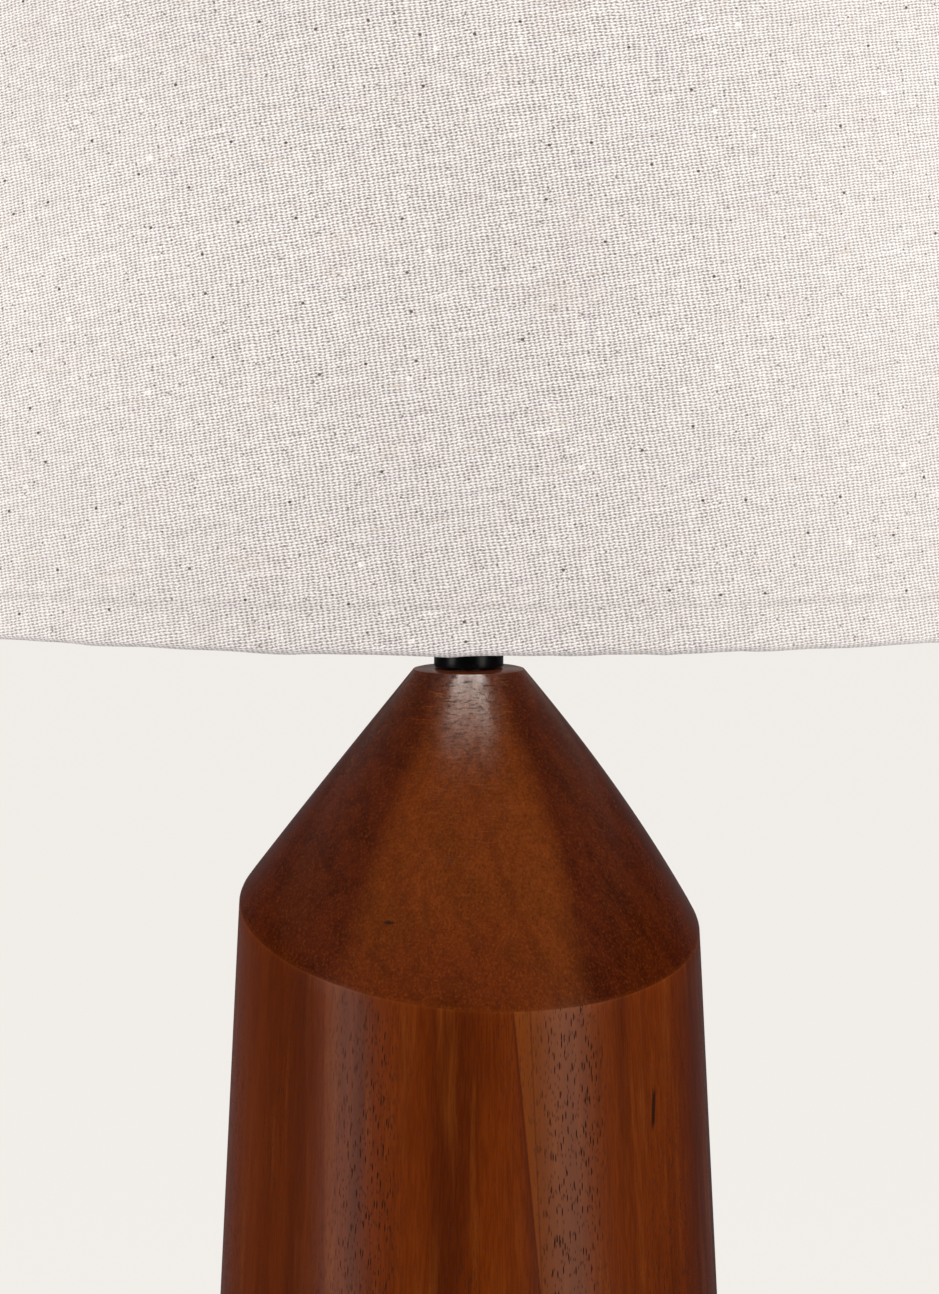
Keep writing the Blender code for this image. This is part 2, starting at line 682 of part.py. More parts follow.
def ring_profile(height):
    radius = ring_radius(height)
    angles = [-FULL_TURN * side / RING_SIDES for side in range(RING_SIDES)]
    return [(radius + RING_WIRE * math.cos(a), height + RING_WIRE * math.sin(a)) for a in angles]


def rod_mesh(name, start, end, radius, segments=12):
    """A straight round rod between two points."""
    start, end = Vector(start), Vector(end)
    along = end - start
    turn = along.to_track_quat("Z", "Y").to_matrix().to_4x4()
    bm = bmesh.new()
    bmesh.ops.create_cone(
        bm,
        cap_ends=True,
        segments=segments,
        radius1=radius,
        radius2=radius,
        depth=along.length,
        matrix=Matrix.Translation((start + end) / 2) @ turn,
    )
    return mesh_from(bm, name)


def make_shade(cloth, plastic, wire):
    shade_shell("shade_fabric", 0.0, CLOTH_THICKNESS, SHADE_BOTTOM_Z, SHADE_TOP_Z, cloth)
    low, high = SHADE_BOTTOM_Z + LINER_INSET_Z, SHADE_TOP_Z - LINER_INSET_Z
    shade_shell("shade_liner", CLOTH_THICKNESS + GAP, LINER_THICKNESS, low, high, plastic)
    bottom_z = SHADE_BOTTOM_Z + RING_INSET_Z
    turned("shade_bottom_ring", ring_profile(bottom_z), wire, closed=True, steps=FINE_STEPS)

    top_z = SHADE_TOP_Z - RING_INSET_Z
    spider = turned("spider", ring_profile(top_z), wire, closed=True, steps=FINE_STEPS)
    washer_middle = WASHER_BOTTOM_Z + WASHER_THICKNESS / 2
    washer_top = WASHER_BOTTOM_Z + WASHER_THICKNESS
    washer = cylinder_mesh("spider_washer", WASHER_RADIUS, WASHER_BOTTOM_Z, washer_top)
    hole = cylinder_mesh("washer_cut", WASHER_BORE, WASHER_BOTTOM_Z - 0.004, WASHER_BOTTOM_Z + 0.006)
    for index, azimuth in enumerate(ARM_AZIMUTHS, start=1):
        outward = Vector((math.cos(azimuth), math.sin(azimuth), 0.0))
        start = outward * (WASHER_RADIUS - 0.003) + Vector((0.0, 0.0, washer_middle))
        end = outward * ring_radius(top_z) + Vector((0.0, 0.0, top_z))
        arm = make_cutter(f"spider_arm_{index}", rod_mesh(f"spider_arm_{index}", start, end, ARM_WIRE))
        use_boolean(spider, arm, "UNION")
    use_boolean(spider, make_cutter("spider_washer", washer), "UNION")
    use_boolean(spider, make_cutter("washer_cut", hole))


def make_finial(brass):
    """A turned nut: flange, waist and ball, with a blind bore for the post's stud."""
    low = FINIAL_BOTTOM_Z
    middle = low + FINIAL_BALL_RISE
    arc_steps = 7
    first, last = math.pi / 2, -math.pi / 4
    angles = [first + (last - first) * step / arc_steps for step in range(arc_steps + 1)]
    ball = [(FINIAL_RADIUS * math.cos(a), middle + FINIAL_RADIUS * math.sin(a)) for a in angles]
    ball[0] = (0.0, ball[0][1])
    stem = [
        (FINIAL_WAIST_RADIUS, low + FINIAL_WAIST_TOP),
        (FINIAL_WAIST_RADIUS, low + FINIAL_FLANGE_HEIGHT + 0.0010),
        (FINIAL_FLANGE_RADIUS, low + FINIAL_FLANGE_HEIGHT),
        (FINIAL_FLANGE_RADIUS, low),
        (FINIAL_BORE, low),
        (FINIAL_BORE, POST_TOP_Z + BORE_END_GAP),
        (0.0, POST_TOP_Z + BORE_END_GAP),
    ]
    turned("finial", ball + stem, brass)


def make_lamp():
    wood = make_material("stained_wood", (0.100, 0.026, 0.011), 0.34)
    cloth = make_material("linen_cotton", (0.74, 0.70, 0.66), 0.95)
    black = make_material("black_satin", (0.012, 0.012, 0.012), 0.32)
    steel = make_material("zinc_steel", (0.52, 0.52, 0.53), 0.36, 1.0)
    wire = make_material("white_wire", (0.78, 0.77, 0.75), 0.40)
    brass = make_material("brass", (0.72, 0.50, 0.22), 0.28, 1.0)
    rubber = make_material("black_rubber", (0.02, 0.02, 0.02), 0.75)
    plastic = make_material("white_liner", (0.82, 0.80, 0.76), 0.55)
    porcelain = make_material("porcelain", (0.86, 0.85, 0.82), 0.25)
    opal = make_material("opal_glass", (0.90, 0.89, 0.86), 0.30)
    make_hub(wood)
    make_legs(wood, steel, brass, rubber)
    make_pocket_parts(steel)
    make_grommet(rubber)
    make_neck(black)
    make_saddle(steel)
    make_socket(black, brass, porcelain)
    make_knob(black)
    make_bulb(brass, plastic, opal)
    make_harp(brass)
    make_shade(cloth, plastic, wire)
    make_finial(brass)


clear_scene()
lamp = make_collection("tripod_floor_lamp")
cutters = make_collection("cutters")
cutters.hide_render = True
make_lamp()
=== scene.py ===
import math

import bpy
from bpy.props import FloatProperty, FloatVectorProperty, PointerProperty
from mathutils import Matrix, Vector, noise


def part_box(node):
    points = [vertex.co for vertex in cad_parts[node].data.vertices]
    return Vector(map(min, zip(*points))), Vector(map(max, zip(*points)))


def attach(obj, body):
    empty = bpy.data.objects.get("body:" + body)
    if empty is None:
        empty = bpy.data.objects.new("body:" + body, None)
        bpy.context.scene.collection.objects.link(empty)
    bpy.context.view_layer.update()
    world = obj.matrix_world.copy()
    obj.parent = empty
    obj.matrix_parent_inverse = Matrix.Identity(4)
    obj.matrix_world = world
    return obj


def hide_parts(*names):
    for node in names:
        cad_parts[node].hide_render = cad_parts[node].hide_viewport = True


bl_info = {
    "name": "Tripod Floor Lamp",
    "version": (1, 0, 0),
    "blender": (4, 5, 0),
    "location": "3D View > Sidebar > Lamp",
    "description": "Builds a turned wooden tripod lamp with a cloth drum shade around its working frame",
    "category": "Object",
}

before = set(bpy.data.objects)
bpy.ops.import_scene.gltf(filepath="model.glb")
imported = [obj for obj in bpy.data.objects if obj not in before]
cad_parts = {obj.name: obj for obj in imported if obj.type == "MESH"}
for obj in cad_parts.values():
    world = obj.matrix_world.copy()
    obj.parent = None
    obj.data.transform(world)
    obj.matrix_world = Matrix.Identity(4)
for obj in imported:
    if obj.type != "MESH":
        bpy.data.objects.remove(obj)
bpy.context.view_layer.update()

FULL_TURN = 2 * math.pi
GAP = 0.0003
SAME_POINT = 0.000002
PIPE_BORE = 0.0053
LEGS = 3


def low(node):
    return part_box(node)[0]


def high(node):
    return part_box(node)[1]


HUB_TOP = high("hub").z
HUB_BOTTOM = low("hub").z
NECK_RADIUS = high("neck").x
SHADE_TOP = high("shade_fabric").z
SHADE_BOTTOM = low("shade_fabric").z
SHADE_RIM_RADIUS = high("shade_fabric").x


# ---------------------------------------------------------------- sizes and colours


def length_setting(name, description, default):
    return FloatProperty(
        name=name, description=description, default=default, unit="LENGTH", precision=5)


def angle_setting(name, description, degrees):
    return FloatProperty(
        name=name, description=description, default=math.radians(degrees), subtype="ANGLE")


class LampSizes(bpy.types.PropertyGroup):
    shoulder_depth: length_setting(
        "Shoulder depth", "Middle of the shoulder below the hub's flat top", 0.0643)
    shoulder_radius: length_setting("Shoulder radius", "Column radius at the shoulder's middle", 0.0606)
    shoulder_rise: angle_setting("Shoulder rise", "How steeply the shoulder climbs to the back", 14.4)
    shoulder_fall: angle_setting("Shoulder fall", "How steeply the shoulder drops to the right", 3.7)
    column_flare: FloatProperty(
        name="Column flare", description="Growth of the column's radius for each metre down",
        default=0.0523)
    flat_radius: length_setting("Flat top radius", "Radius of the hub's flat top", 0.0153)
    cone_bulge: length_setting("Cone bulge", "How far the cone stands out half way up", 0.0013)
    cone_bulge_right: length_setting("Cone bulge, right", "Extra bulge on the right side", 0.0010)
    warp_pitch: length_setting("Warp pitch", "Distance from one standing thread to the next", 0.00113)
    weft_pitch: length_setting("Weft pitch", "Distance from one lying thread to the next", 0.00067)
    hem_height: length_setting("Hem height", "Turned-in edge inside the shade", 0.010)


def colour(name, description, default):
    return FloatVectorProperty(
        name=name, description=description, default=default, subtype="COLOR", size=3)


class LampColours(bpy.types.PropertyGroup):
    stain: colour("Stain", "Stained wood, middle tone", (0.106, 0.0180, 0.0014))
    stain_dark: colour("Dark stain", "Stained wood, darkest grain", (0.060, 0.0098, 0.0014))
    stain_light: colour("Light stain", "Stained wood, palest lamination", (0.160, 0.0400, 0.0052))
    cone_stain: colour("Cone stain", "Close-grained wood of the cone", (0.066, 0.0098, 0.0016))
    pore: colour("Pores", "Open pores of the column", (0.016, 0.0050, 0.0022))
    thread: colour("Thread", "Raised threads of the cloth", (0.915, 0.868, 0.856))
    gap: colour("Weave gap", "Shadow between threads", (0.190, 0.168, 0.162))
    tan: colour("Tan fibre", "Unbleached patches in the cloth", (0.62, 0.51, 0.41))
    seed: colour("Seed speck", "Dark specks of seed husk", (0.07, 0.045, 0.035))
    black: colour("Black", "Satin black metal", (0.0016, 0.0016, 0.0020))
    brass: colour("Brass", "Satin brass", (0.70, 0.47, 0.20))
    steel: colour("Steel", "Zinc-plated steel", (0.50, 0.50, 0.51))
    white: colour("White", "Powder coat and liner", (0.78, 0.77, 0.74))
    rubber: colour("Rubber", "Feet and cable bush", (0.022, 0.022, 0.023))
    floor: colour("Floor", "Plain pale floor and background", (0.896, 0.863, 0.823))


def sizes():
    return bpy.context.scene.lamp_sizes


def colours():
    return bpy.context.scene.lamp_colours


# ---------------------------------------------------------------- shader building


class Value:
    """The output socket of a shader node, so that sums on it read as sums."""

    def __init__(self, look, socket):
        self.look = look
        self.socket = socket

    def maths(self, operation, *others):
        sockets = dict(enumerate((self, *others)))
        return self.look.add("ShaderNodeMath", {"operation": operation}, sockets)

    def __add__(self, other):
        return self.maths("ADD", other)

    def __sub__(self, other):
        return self.maths("SUBTRACT", other)

    def __mul__(self, other):
        return self.maths("MULTIPLY", other)

    def __truediv__(self, other):
        return self.maths("DIVIDE", other)

    def __pow__(self, other):
        return self.maths("POWER", other)

    def __rsub__(self, other):
        return self.look.add("ShaderNodeMath", {"operation": "SUBTRACT"}, {0: other, 1: self})

    __radd__ = __add__
    __rmul__ = __mul__


class Look:
    """A material under construction."""

    def __init__(self, name):
        self.material = bpy.data.materials.new(name)
        self.material.use_nodes = True
        self.tree = self.material.node_tree
        self.shader = self.tree.nodes["Principled BSDF"]

    def add(self, kind, settings=None, sockets=None, output=0):
        """Adds a node: its settings first, then the values or links of its sockets."""
        node = self.tree.nodes.new(kind)
        for name, setting in (settings or {}).items():
            setattr(node, name, setting)
        self.feed(node, sockets or {})
        return Value(self, node.outputs[output])

    def feed(self, node, sockets):
        for name, value in sockets.items():
            socket = node.inputs[name]
            if isinstance(value, Value):
                self.tree.links.new(value.socket, socket)
            elif socket.type == "RGBA" and len(value) == 3:
                socket.default_value = (*value, 1.0)
            else:
                socket.default_value = value

    def place(self, attribute=None):
        """Object coordinates, or a vector that is stored on the mesh."""
        if attribute:
            return self.add("ShaderNodeAttribute", {"attribute_name": attribute}, output=1)
        return self.add("ShaderNodeTexCoord", output=3)

    def split(self, vector):
        parts = self.add("ShaderNodeSeparateXYZ", sockets={0: vector})
        return [Value(self, output) for output in parts.socket.node.outputs]

    def join(self, x, y, z=0.0):
        return self.add("ShaderNodeCombineXYZ", sockets={0: x, 1: y, 2: z})

    def stretch(self, vector, factors):
        return self.add("ShaderNodeVectorMath", {"operation": "MULTIPLY"}, {0: vector, 1: factors})

    def noise(self, vector, detail=2.0, roughness=0.5):
        sockets = {"Vector": vector, "Scale": 1.0, "Detail": detail, "Roughness": roughness}
        return self.add("ShaderNodeTexNoise", sockets=sockets)

    def step(self, value, start, end, smooth=True):
        """Runs from 0 at start to 1 at end; start may be the higher of the two."""
        kind = "SMOOTHSTEP" if smooth else "LINEAR"
        sockets = {"Value": value, "From Min": start, "From Max": end}
        return self.add("ShaderNodeMapRange", {"interpolation_type": kind}, sockets)

    def mix(self, share, first, second, blend="MIX"):
        settings = {"data_type": "RGBA", "blend_type": blend, "clamp_factor": True}
        return self.add("ShaderNodeMix", settings, {0: share, 6: first, 7: second}, output=2)

    def cells(self, vector, output, flat=False):
        settings = {"voronoi_dimensions": "2D" if flat else "3D"}
        return self.add("ShaderNodeTexVoronoi", settings, {"Vector": vector, "Scale": 1.0}, output)

    def spots(self, vector, size, keep, soft=0.5, flat=False):
        """Round spots with a radius of size cells, in the share keep of all cells."""
        distance = self.cells(vector, 0, flat)
        tint = self.split(self.cells(vector, 1, flat))[0]
        kept = self.step(tint, 1.0 - keep, 1.0 - keep + 0.02)
        return (1 - self.step(distance, size * (1 - soft), size)) * kept

    def near(self, value, close, far):
        """1 where value is within close of 0, fading to 0 at far."""
        return 1 - self.step(value.maths("ABSOLUTE"), close, far)

    def bump(self, height, distance, strength):
        sockets = {"Height": height, "Distance": distance, "Strength": strength}
        return self.add("ShaderNodeBump", sockets=sockets)

    def finish(self, **sockets):
        """Feeds the shader; base_color stands for its socket Base Color, and so on."""
        named = {name.replace("_", " ").title().replace("Ior", "IOR"): sockets[name] for name in sockets}
        self.feed(self.shader, named)
        return self.material


# ---------------------------------------------------------------- finishes


FRONT_SHOULDER_DEPTH = 0.0819
SEAM_X, SEAM_LEAN = 0.0155, 0.043
WEDGE_X, WEDGE_LEAN = 0.0115, 0.096
REAR_SEAM_X = -0.017
LEFT_BLOCK_X = -0.0362
CRACK_X, CRACK_DEPTH, CRACK_LEAN = 0.0472, 0.109, 0.03
KNOT_X, KNOT_DEPTH = -0.0202, 0.0600
GRAIN_DEPTH, GRAIN_STRENGTH = 0.00010, 0.70
SHADED = (0.66, 0.60, 0.52)


def column_wood(look, place, depth, hub):
    """Straight, open-pored grain running down: (colour, height, pores)."""
    tints = colours()
    x, y, z = look.split(place)
    wander = look.noise(look.stretch(place, (20.0, 20.0, 5.0)), detail=1.0) - 0.5
    across = x + wander * 0.004
    broad = look.noise(look.join(across * 75.0, y * 75.0, z * 3.0), detail=3.0, roughness=0.55)
    bands = look.noise(look.join(across * 330.0, y * 330.0, z * 7.0), detail=2.0)
    fibres = look.noise(look.join(across * 2300.0, y * 2300.0, z * 70.0), detail=2.0)
    base = look.mix(look.step(broad, 0.30, 0.62), tints.stain_dark, tints.stain)
    base = look.mix(look.step(bands, 0.50, 0.78) * 0.42, base, tints.stain_light)
    base = look.mix(look.step(bands, 0.46, 0.24) * 0.42, base, tints.stain_dark)
    base = look.mix(look.step(fibres, 0.38, 0.62) * 0.55, base, (0.66, 0.56, 0.48), "MULTIPLY")
    crowd = look.step(look.noise(look.join(x * 45.0, y * 45.0, z * 9.0), detail=1.0), 0.40, 0.66)
    if hub:
        base = hub_blocks(look, base, x, y, depth)
        rows = look.step((x.maths("ABSOLUTE") - 0.0265).maths("ABSOLUTE"), 0.0110, 0.0040)
        crowd = crowd * 0.5 + rows * 0.6
    around = x.maths("ARCTAN2", y * -1.0) * 0.062
    pores = look.spots(look.join(around * 1450.0, z * 215.0), 0.29, 0.34, 0.5, True)
    fine = look.spots(look.join(around * 2400.0 + 5.0, z * 430.0), 0.29, 0.30, 0.5, True)
    marks = (pores * crowd).maths("MAXIMUM", fine * (crowd * 0.55 + 0.18))
    base = look.mix(marks, base, tints.pore)
    height = fibres * 0.30 - marks * 1.2
    return base, height, marks


def hub_blocks(look, base, x, y, depth):
    """Glued-up blocks on the front of the column: a seam, a golden wedge and a darker left side."""
    tints = colours()
    front = look.step(y, 0.0, -0.004)
    seam = (depth - FRONT_SHOULDER_DEPTH) * SEAM_LEAN + SEAM_X
    wedge = (depth - FRONT_SHOULDER_DEPTH) * WEDGE_LEAN + WEDGE_X
    past_seam = look.step(x - seam, -0.00015, 0.00015) * front
    past_wedge = look.step(x - wedge, -0.0002, 0.0002) * front
    pale = look.step(x, 0.039, 0.021) * past_seam
    base = look.mix(pale * 0.50, base, tints.stain_light)
    between = past_wedge * (1 - past_seam)
    base = look.mix(between * 0.55, base, tints.stain_light)
    line = look.near(x - wedge + 0.0003, 0.0001, 0.0005) * (1 - past_seam)
    base = look.mix(line * front * 0.80, base, tints.stain_dark)
    edge = look.near(x - seam, 0.00005, 0.00035)
    base = look.mix(edge * front * 0.55, base, tints.stain_dark)
    rear = look.near(x - REAR_SEAM_X, 0.0001, 0.0004)
    base = look.mix(rear * (1 - front) * 0.6, base, tints.stain_dark)
    left = look.step(x, LEFT_BLOCK_X, LEFT_BLOCK_X - 0.0006) * front
    base = look.mix(left * 0.38, base, tints.stain_dark)
    near_left = look.step(x, -0.0200, -0.0364) * (1 - left) * front
    base = look.mix(near_left * 0.16, base, tints.stain_light)
    # Painted shade: the front of the column darker towards its right edge.
    base = look.mix(look.step(x, 0.047, 0.056) * front * 0.8, base, (0.80, 0.74, 0.66), "MULTIPLY")
    crack = look.near(x - CRACK_X + (depth - CRACK_DEPTH) * CRACK_LEAN, 0.0002, 0.0007)
    reach = look.near(depth - CRACK_DEPTH, 0.003, 0.0065)
    return look.mix(crack * reach * front * 0.95, base, tints.pore)


def cone_wood(look, place, depth):
    """The cone's slanting laminations, smooth and close-grained, with fine turning marks; where the
    highlight falls, the marks are painted lighter as glints and dark crackle is painted in.
    """
    tints = colours()
    x, y, z = look.split(place)
    cloud = look.noise(look.stretch(place, (52.0, 52.0, 34.0)), detail=5.0, roughness=0.65)
    silk = look.noise(look.stretch(place, (420.0, 420.0, 150.0)), detail=3.0, roughness=0.6)
    wobble = (cloud - 0.5) * 0.006
    base = look.mix(look.step(cloud, 0.36, 0.62), tints.stain_dark, tints.cone_stain)
    slanted = look.join(x * 260.0 - z * 150.0, y * 260.0, z * 40.0 + x * 60.0)
    ray = look.noise(slanted, detail=3.0, roughness=0.6)
    base = look.mix(look.step(ray, 0.46, 0.70) * 0.34, base, tints.stain_dark)
    swept = look.join(x * 120.0 + z * 70.0, y * 120.0, z * 30.0 - x * 30.0 + 4.0)
    sweep = look.noise(swept, detail=4.0, roughness=0.6)
    base = look.mix(look.step(sweep, 0.45, 0.62) * 0.75, base, SHADED, "MULTIPLY")
    outward = y * -1.0 - 0.0140 - depth * 0.50 + wobble * 0.3
    front = look.step(outward, -0.0022, 0.0022)
    base = look.mix(1 - front, base, (0.74, 0.70, 0.62), "MULTIPLY")
    base = look.mix(front * (look.step(depth, 0.076, 0.048) * 0.20 + 0.07), base, tints.stain_light)
    golden = look.step(x, 0.004, 0.020) * front
    base = look.mix(golden * 0.14, base, tints.stain_light)
    left_line = look.near(x + 0.0330 - depth * 0.30 + wobble, 0.0002, 0.0035)
    right_line = look.near(x + 0.0110 - depth * 0.42 + wobble, 0.0002, 0.0020)
    lines = (left_line * 0.30).maths("MAXIMUM", right_line * 0.35)
    base = look.mix(lines * front, base, tints.stain_dark)
    base = look.mix(look.step(silk, 0.42, 0.64) * 0.45, base, SHADED, "MULTIPLY")
    grit = look.noise(look.stretch(place, (1700.0, 1700.0, 1100.0)), detail=2.0, roughness=0.7)
    base = look.mix(look.step(grit, 0.46, 0.64) * 0.44, base, (0.55, 0.50, 0.42), "MULTIPLY")
    base = look.mix(look.step(grit, 0.48, 0.32) * 0.22, base, tints.stain_light)
    specks = look.spots(look.stretch(place, (1100.0, 1100.0, 800.0)), 0.30, 0.22, 0.6)
    base = look.mix(specks * 0.55, base, tints.pore)
    streak = look.noise(look.join(x * 170.0, y * 170.0, z * 2100.0 + silk * 3.0), detail=2.0, roughness=0.6)
    here = look.step(look.noise(look.stretch(place, (150.0, 150.0, 260.0)), detail=1.0), 0.42, 0.62)
    high_up = look.step(depth, 0.056, 0.008)
    scratch_glint = look.step(streak, 0.54, 0.66) * here * (high_up * 0.85 + 0.15)
    # Painted highlight: middle is the front of the cone where its highlight falls; there the turning marks
    # are painted lighter as glints, on top of their real bump.
    middle = look.step(x.maths("ABSOLUTE"), 0.021, 0.006) * look.step(y, 0.0, -0.010)
    base = look.mix(scratch_glint * middle * 0.40, base, tints.stain_light)
    # Painted shade: dark crackle painted into the highlight's zone, where the highlight breaks up on the
    # finish's fine relief.
    creases = look.noise(look.stretch(place, (520.0, 520.0, 1900.0)), detail=4.0, roughness=0.75)
    crackle = look.step(creases, 0.53, 0.60) * look.step(depth, 0.034, 0.006)
    base = look.mix(crackle * middle * 0.70, base, tints.pore)
    spot = (x - KNOT_X).maths("ABSOLUTE") * 0.45 + (depth - KNOT_DEPTH).maths("ABSOLUTE") * 1.4
    knot = (1 - look.step(spot, 0.0004, 0.0011)) * look.step(y, 0.0, -0.010)
    base = look.mix(knot * 0.95, base, tints.pore)
    # The flat top darkened a little all over, and its right half further: the right half is painted shade.
    flat_top = look.step(depth, 0.0016, 0.0002)
    base = look.mix(flat_top * (look.step(x, 0.002, 0.010) * 0.5 + 0.15), base, tints.stain_dark)
    height = scratch_glint * 1.1 * middle + silk * 0.55 - crackle * middle * 0.8 - specks * 0.4 + grit * 0.35
    worn_top = look.near(x, 0.0040, 0.0118) * look.step(depth, 0.028, 0.008)
    shine = worn_top * look.step(y, 0.0, -0.010) * (1 - crackle * 0.7)
    shine = shine * (look.step(silk, 0.70, 0.40) * 0.5 + 0.5)
    return base, height, shine


def hub_wood():
    """Oiled stain over two glued-up blanks: a cone above the slanted shoulder, a column below."""
    look, size = Look("oiled_hub_wood"), sizes()
    place = look.place()
    x, y, z = look.split(place)
    depth = HUB_TOP - z
    rise, fall = math.tan(size.shoulder_rise), math.tan(size.shoulder_fall)
    above = z - (HUB_TOP - size.shoulder_depth) - y * rise + x * fall
    cone = look.step(above, -0.00015, 0.00015)
    low_base, low_height, marks = column_wood(look, place, depth, True)
    high_base, high_height, shine = cone_wood(look, place, depth)
    base = look.mix(cone, low_base, high_base)
    # Painted highlight: a faintly lighter line along the shoulder's crease.
    shoulder_edge_sheen = look.near(above, 0.0001, 0.0009)
    base = look.mix(shoulder_edge_sheen * 0.10, base, colours().stain_light)
    height = high_height * cone + low_height * (1 - cone)
    patch = look.noise(look.stretch(place, (70.0, 70.0, 40.0)), detail=3.0)
    roughness = 0.22 + patch * 0.13 - cone * 0.04 + marks * (1 - cone) * 0.60
    normal = look.bump(height, GRAIN_DEPTH, GRAIN_STRENGTH)
    return look.finish(
        base_color=base, roughness=roughness, normal=normal, specular_ior_level=0.04,
        coat_weight=shine * cone + (1 - cone) * (1 - marks * 0.8) * 0.12, coat_roughness=0.26)


def leg_wood():
    """The same stain on straight-grained legs; the grain follows each leg."""
    look = Look("oiled_leg_wood")
    place = look.place("grain")
    z = look.split(place)[2]
    base, height, marks = column_wood(look, place, z, False)
    scuff = look.noise(look.stretch(place, (150.0, 150.0, 20.0)), detail=3.0)
    roughness = 0.36 + scuff * 0.14 + marks * 0.2
    normal = look.bump(height, GRAIN_DEPTH, GRAIN_STRENGTH)
    return look.finish(base_color=base, roughness=roughness, normal=normal, specular_ior_level=0.10)


def thread_waves(look, across, along, thin, vary, seed):
    """One set of threads: (height over its width, how far it rides over the other set)."""
    index = across.maths("FLOOR")
    inside = (across - index) * 2.0 - 1.0
    girth = look.noise(look.join(index * 3.7, along * 0.085, seed), detail=2.0, roughness=0.6)
    width = thin + (girth - 0.5) * vary
    body = (1 - (inside / width) ** 2.0).maths("MAXIMUM", 0.0)
    ride = ((along + index - 0.5) * math.pi).maths("COSINE") * 0.5 + 0.5
    return body, ride


def cloth():
    """Coarse plain weave in its own flat-cut coordinates, with slubs, neps and seed specks."""
    look, size, tints = Look("natural_plain_weave"), sizes(), colours()
    u, v, _ = look.split(look.add("ShaderNodeUVMap", {"uv_map": "cut"}))

    def field(across, down, seed=0.0, detail=2.0, roughness=0.5):
        return look.noise(look.join(u * across, v * down, seed), detail=detail, roughness=roughness)

    drift = field(60.0, 60.0, 1.0) - 0.5
    shake_u = field(420.0, 1250.0, 2.0) - 0.5
    shake_v = field(760.0, 420.0, 3.0) - 0.5
    warp = u / size.warp_pitch + drift * 1.8 + shake_u * 1.00
    weft = v / size.weft_pitch + drift * 2.2 + shake_v * 0.95
    standing, stand_ride = thread_waves(look, warp, weft, 0.80, 0.80, 3.0)
    lying, lie_ride = thread_waves(look, weft, warp + 1.0, 0.74, 0.70, 11.0)
    up = standing * (0.16 + stand_ride * 0.74)
    across = lying * (0.40 + lie_ride * 0.72)
    height = up.maths("MAXIMUM", across)
    slub = look.step(look.noise(look.join(u * 60.0, weft * 0.55, 5.0), detail=1.0), 0.68, 0.82)
    nep = look.spots(look.join(u * 118.0, v * 150.0), 0.12, 0.045, 0.8, True)
    fuzz = field(2300.0, 2300.0, 6.0, 2.0, 0.65) - 0.5
    loose = field(330.0, 520.0, 7.0, 3.0, 0.6) - 0.5
    level = height + slub * 0.30 + nep * 0.50 + fuzz * 0.45 + loose * 0.52
    light = look.step(level, -0.02, 0.92, False)
    base = look.mix(light, tints.gap, tints.thread)
    blotch = look.step(field(38.0, 66.0, 8.0, 3.0, 0.6), 0.56, 0.80)
    base = look.mix(blotch * 0.20, base, tints.tan)
    tan_fibre = look.step(look.noise(look.join(u * 95.0, weft * 0.45, 9.0), detail=2.0), 0.66, 0.76)
    base = look.mix(tan_fibre * 0.46, base, tints.tan)
    base = look.mix(look.step(field(12.0, 12.0, 10.0, 2.0), 0.35, 0.70) * 0.06, base, tints.gap)
    # Painted light: the cloth painted paler to each side of the front, where the side lights fall.
    front_line = (-math.pi / 2 - GRAIN_AZIMUTH) * CONE_SINE
    aside = u * math.cos(front_line) - v * math.sin(front_line)
    painted_side_light = look.step(aside, 0.015, 0.105) * 0.17 + look.step(aside, -0.020, -0.105) * 0.12
    base = look.mix(painted_side_light, base, tints.thread)
    above_rim = SHADE_RIM_RADIUS / CONE_SINE - (u * u + v * v) ** 0.5
    # Painted shade: the cloth darker towards the bottom rim.
    base = look.mix(look.step(above_rim, 0.11, 0.0) * 0.085, base, tints.gap)
    # Painted shade: a faint dark line where the turned-in edge ends inside.
    hem_line_shade = look.near(above_rim - size.hem_height, 0.0002, 0.0016)
    base = look.mix(hem_line_shade * 0.09, base, tints.gap)
    wide = look.spots(look.join(u * 88.0, v * 104.0), 0.042, 0.26, 0.4, True)
    small = look.spots(look.join(u * 330.0 + 9.0, v * 380.0), 0.120, 0.150, 0.5, True)
    base = look.mix(small * 0.70, base, tints.seed)
    base = look.mix(wide * 0.92, base, tints.seed)
    relief = height + slub * 0.30 + nep * 0.9 + fuzz * 0.30
    normal = look.bump(relief, 0.00020, 0.60)
    return look.finish(
        base_color=base, roughness=0.92, normal=normal, specular_ior_level=0.15,
        sheen_weight=0.10, sheen_roughness=0.5)


def satin_metal(name, tint, roughness, metallic, mark=0.05, gloss=0.5):
    """Satin metal or paint with faint smudges and fine rubbing marks."""
    look = Look(name)
    place = look.place()
    smudge = look.noise(look.stretch(place, (160.0, 160.0, 90.0)), detail=4.0, roughness=0.6)
    rub = look.noise(look.stretch(place, (700.0, 700.0, 5200.0)), detail=2.0)
    pale = tuple(min(1.0, channel * 1.25) for channel in tint)
    base = look.mix(look.step(smudge, 0.35, 0.75), tuple(tint), pale)
    finish = roughness + (smudge - 0.5) * 0.16 + (rub - 0.5) * mark
    return look.finish(
        base_color=base, roughness=finish, metallic=metallic, normal=look.bump(rub, 0.00002, 0.25),
        specular_ior_level=gloss)


def grained_plastic(name, tint, roughness, grain=900.0, depth=0.00003):
    """Moulded or coated surface with a fine orange-peel grain."""
    look = Look(name)
    place = look.place()
    peel = look.noise(look.stretch(place, (grain, grain, grain)), detail=2.0)
    dust = look.noise(look.stretch(place, (60.0, 60.0, 60.0)), detail=3.0)
    dim = tuple(channel * 0.90 for channel in tint)
    base = look.mix(look.step(dust, 0.35, 0.75) * 0.5, tuple(tint), dim)
    finish = roughness + (dust - 0.5) * 0.12
    return look.finish(base_color=base, roughness=finish, normal=look.bump(peel, depth, 0.4))


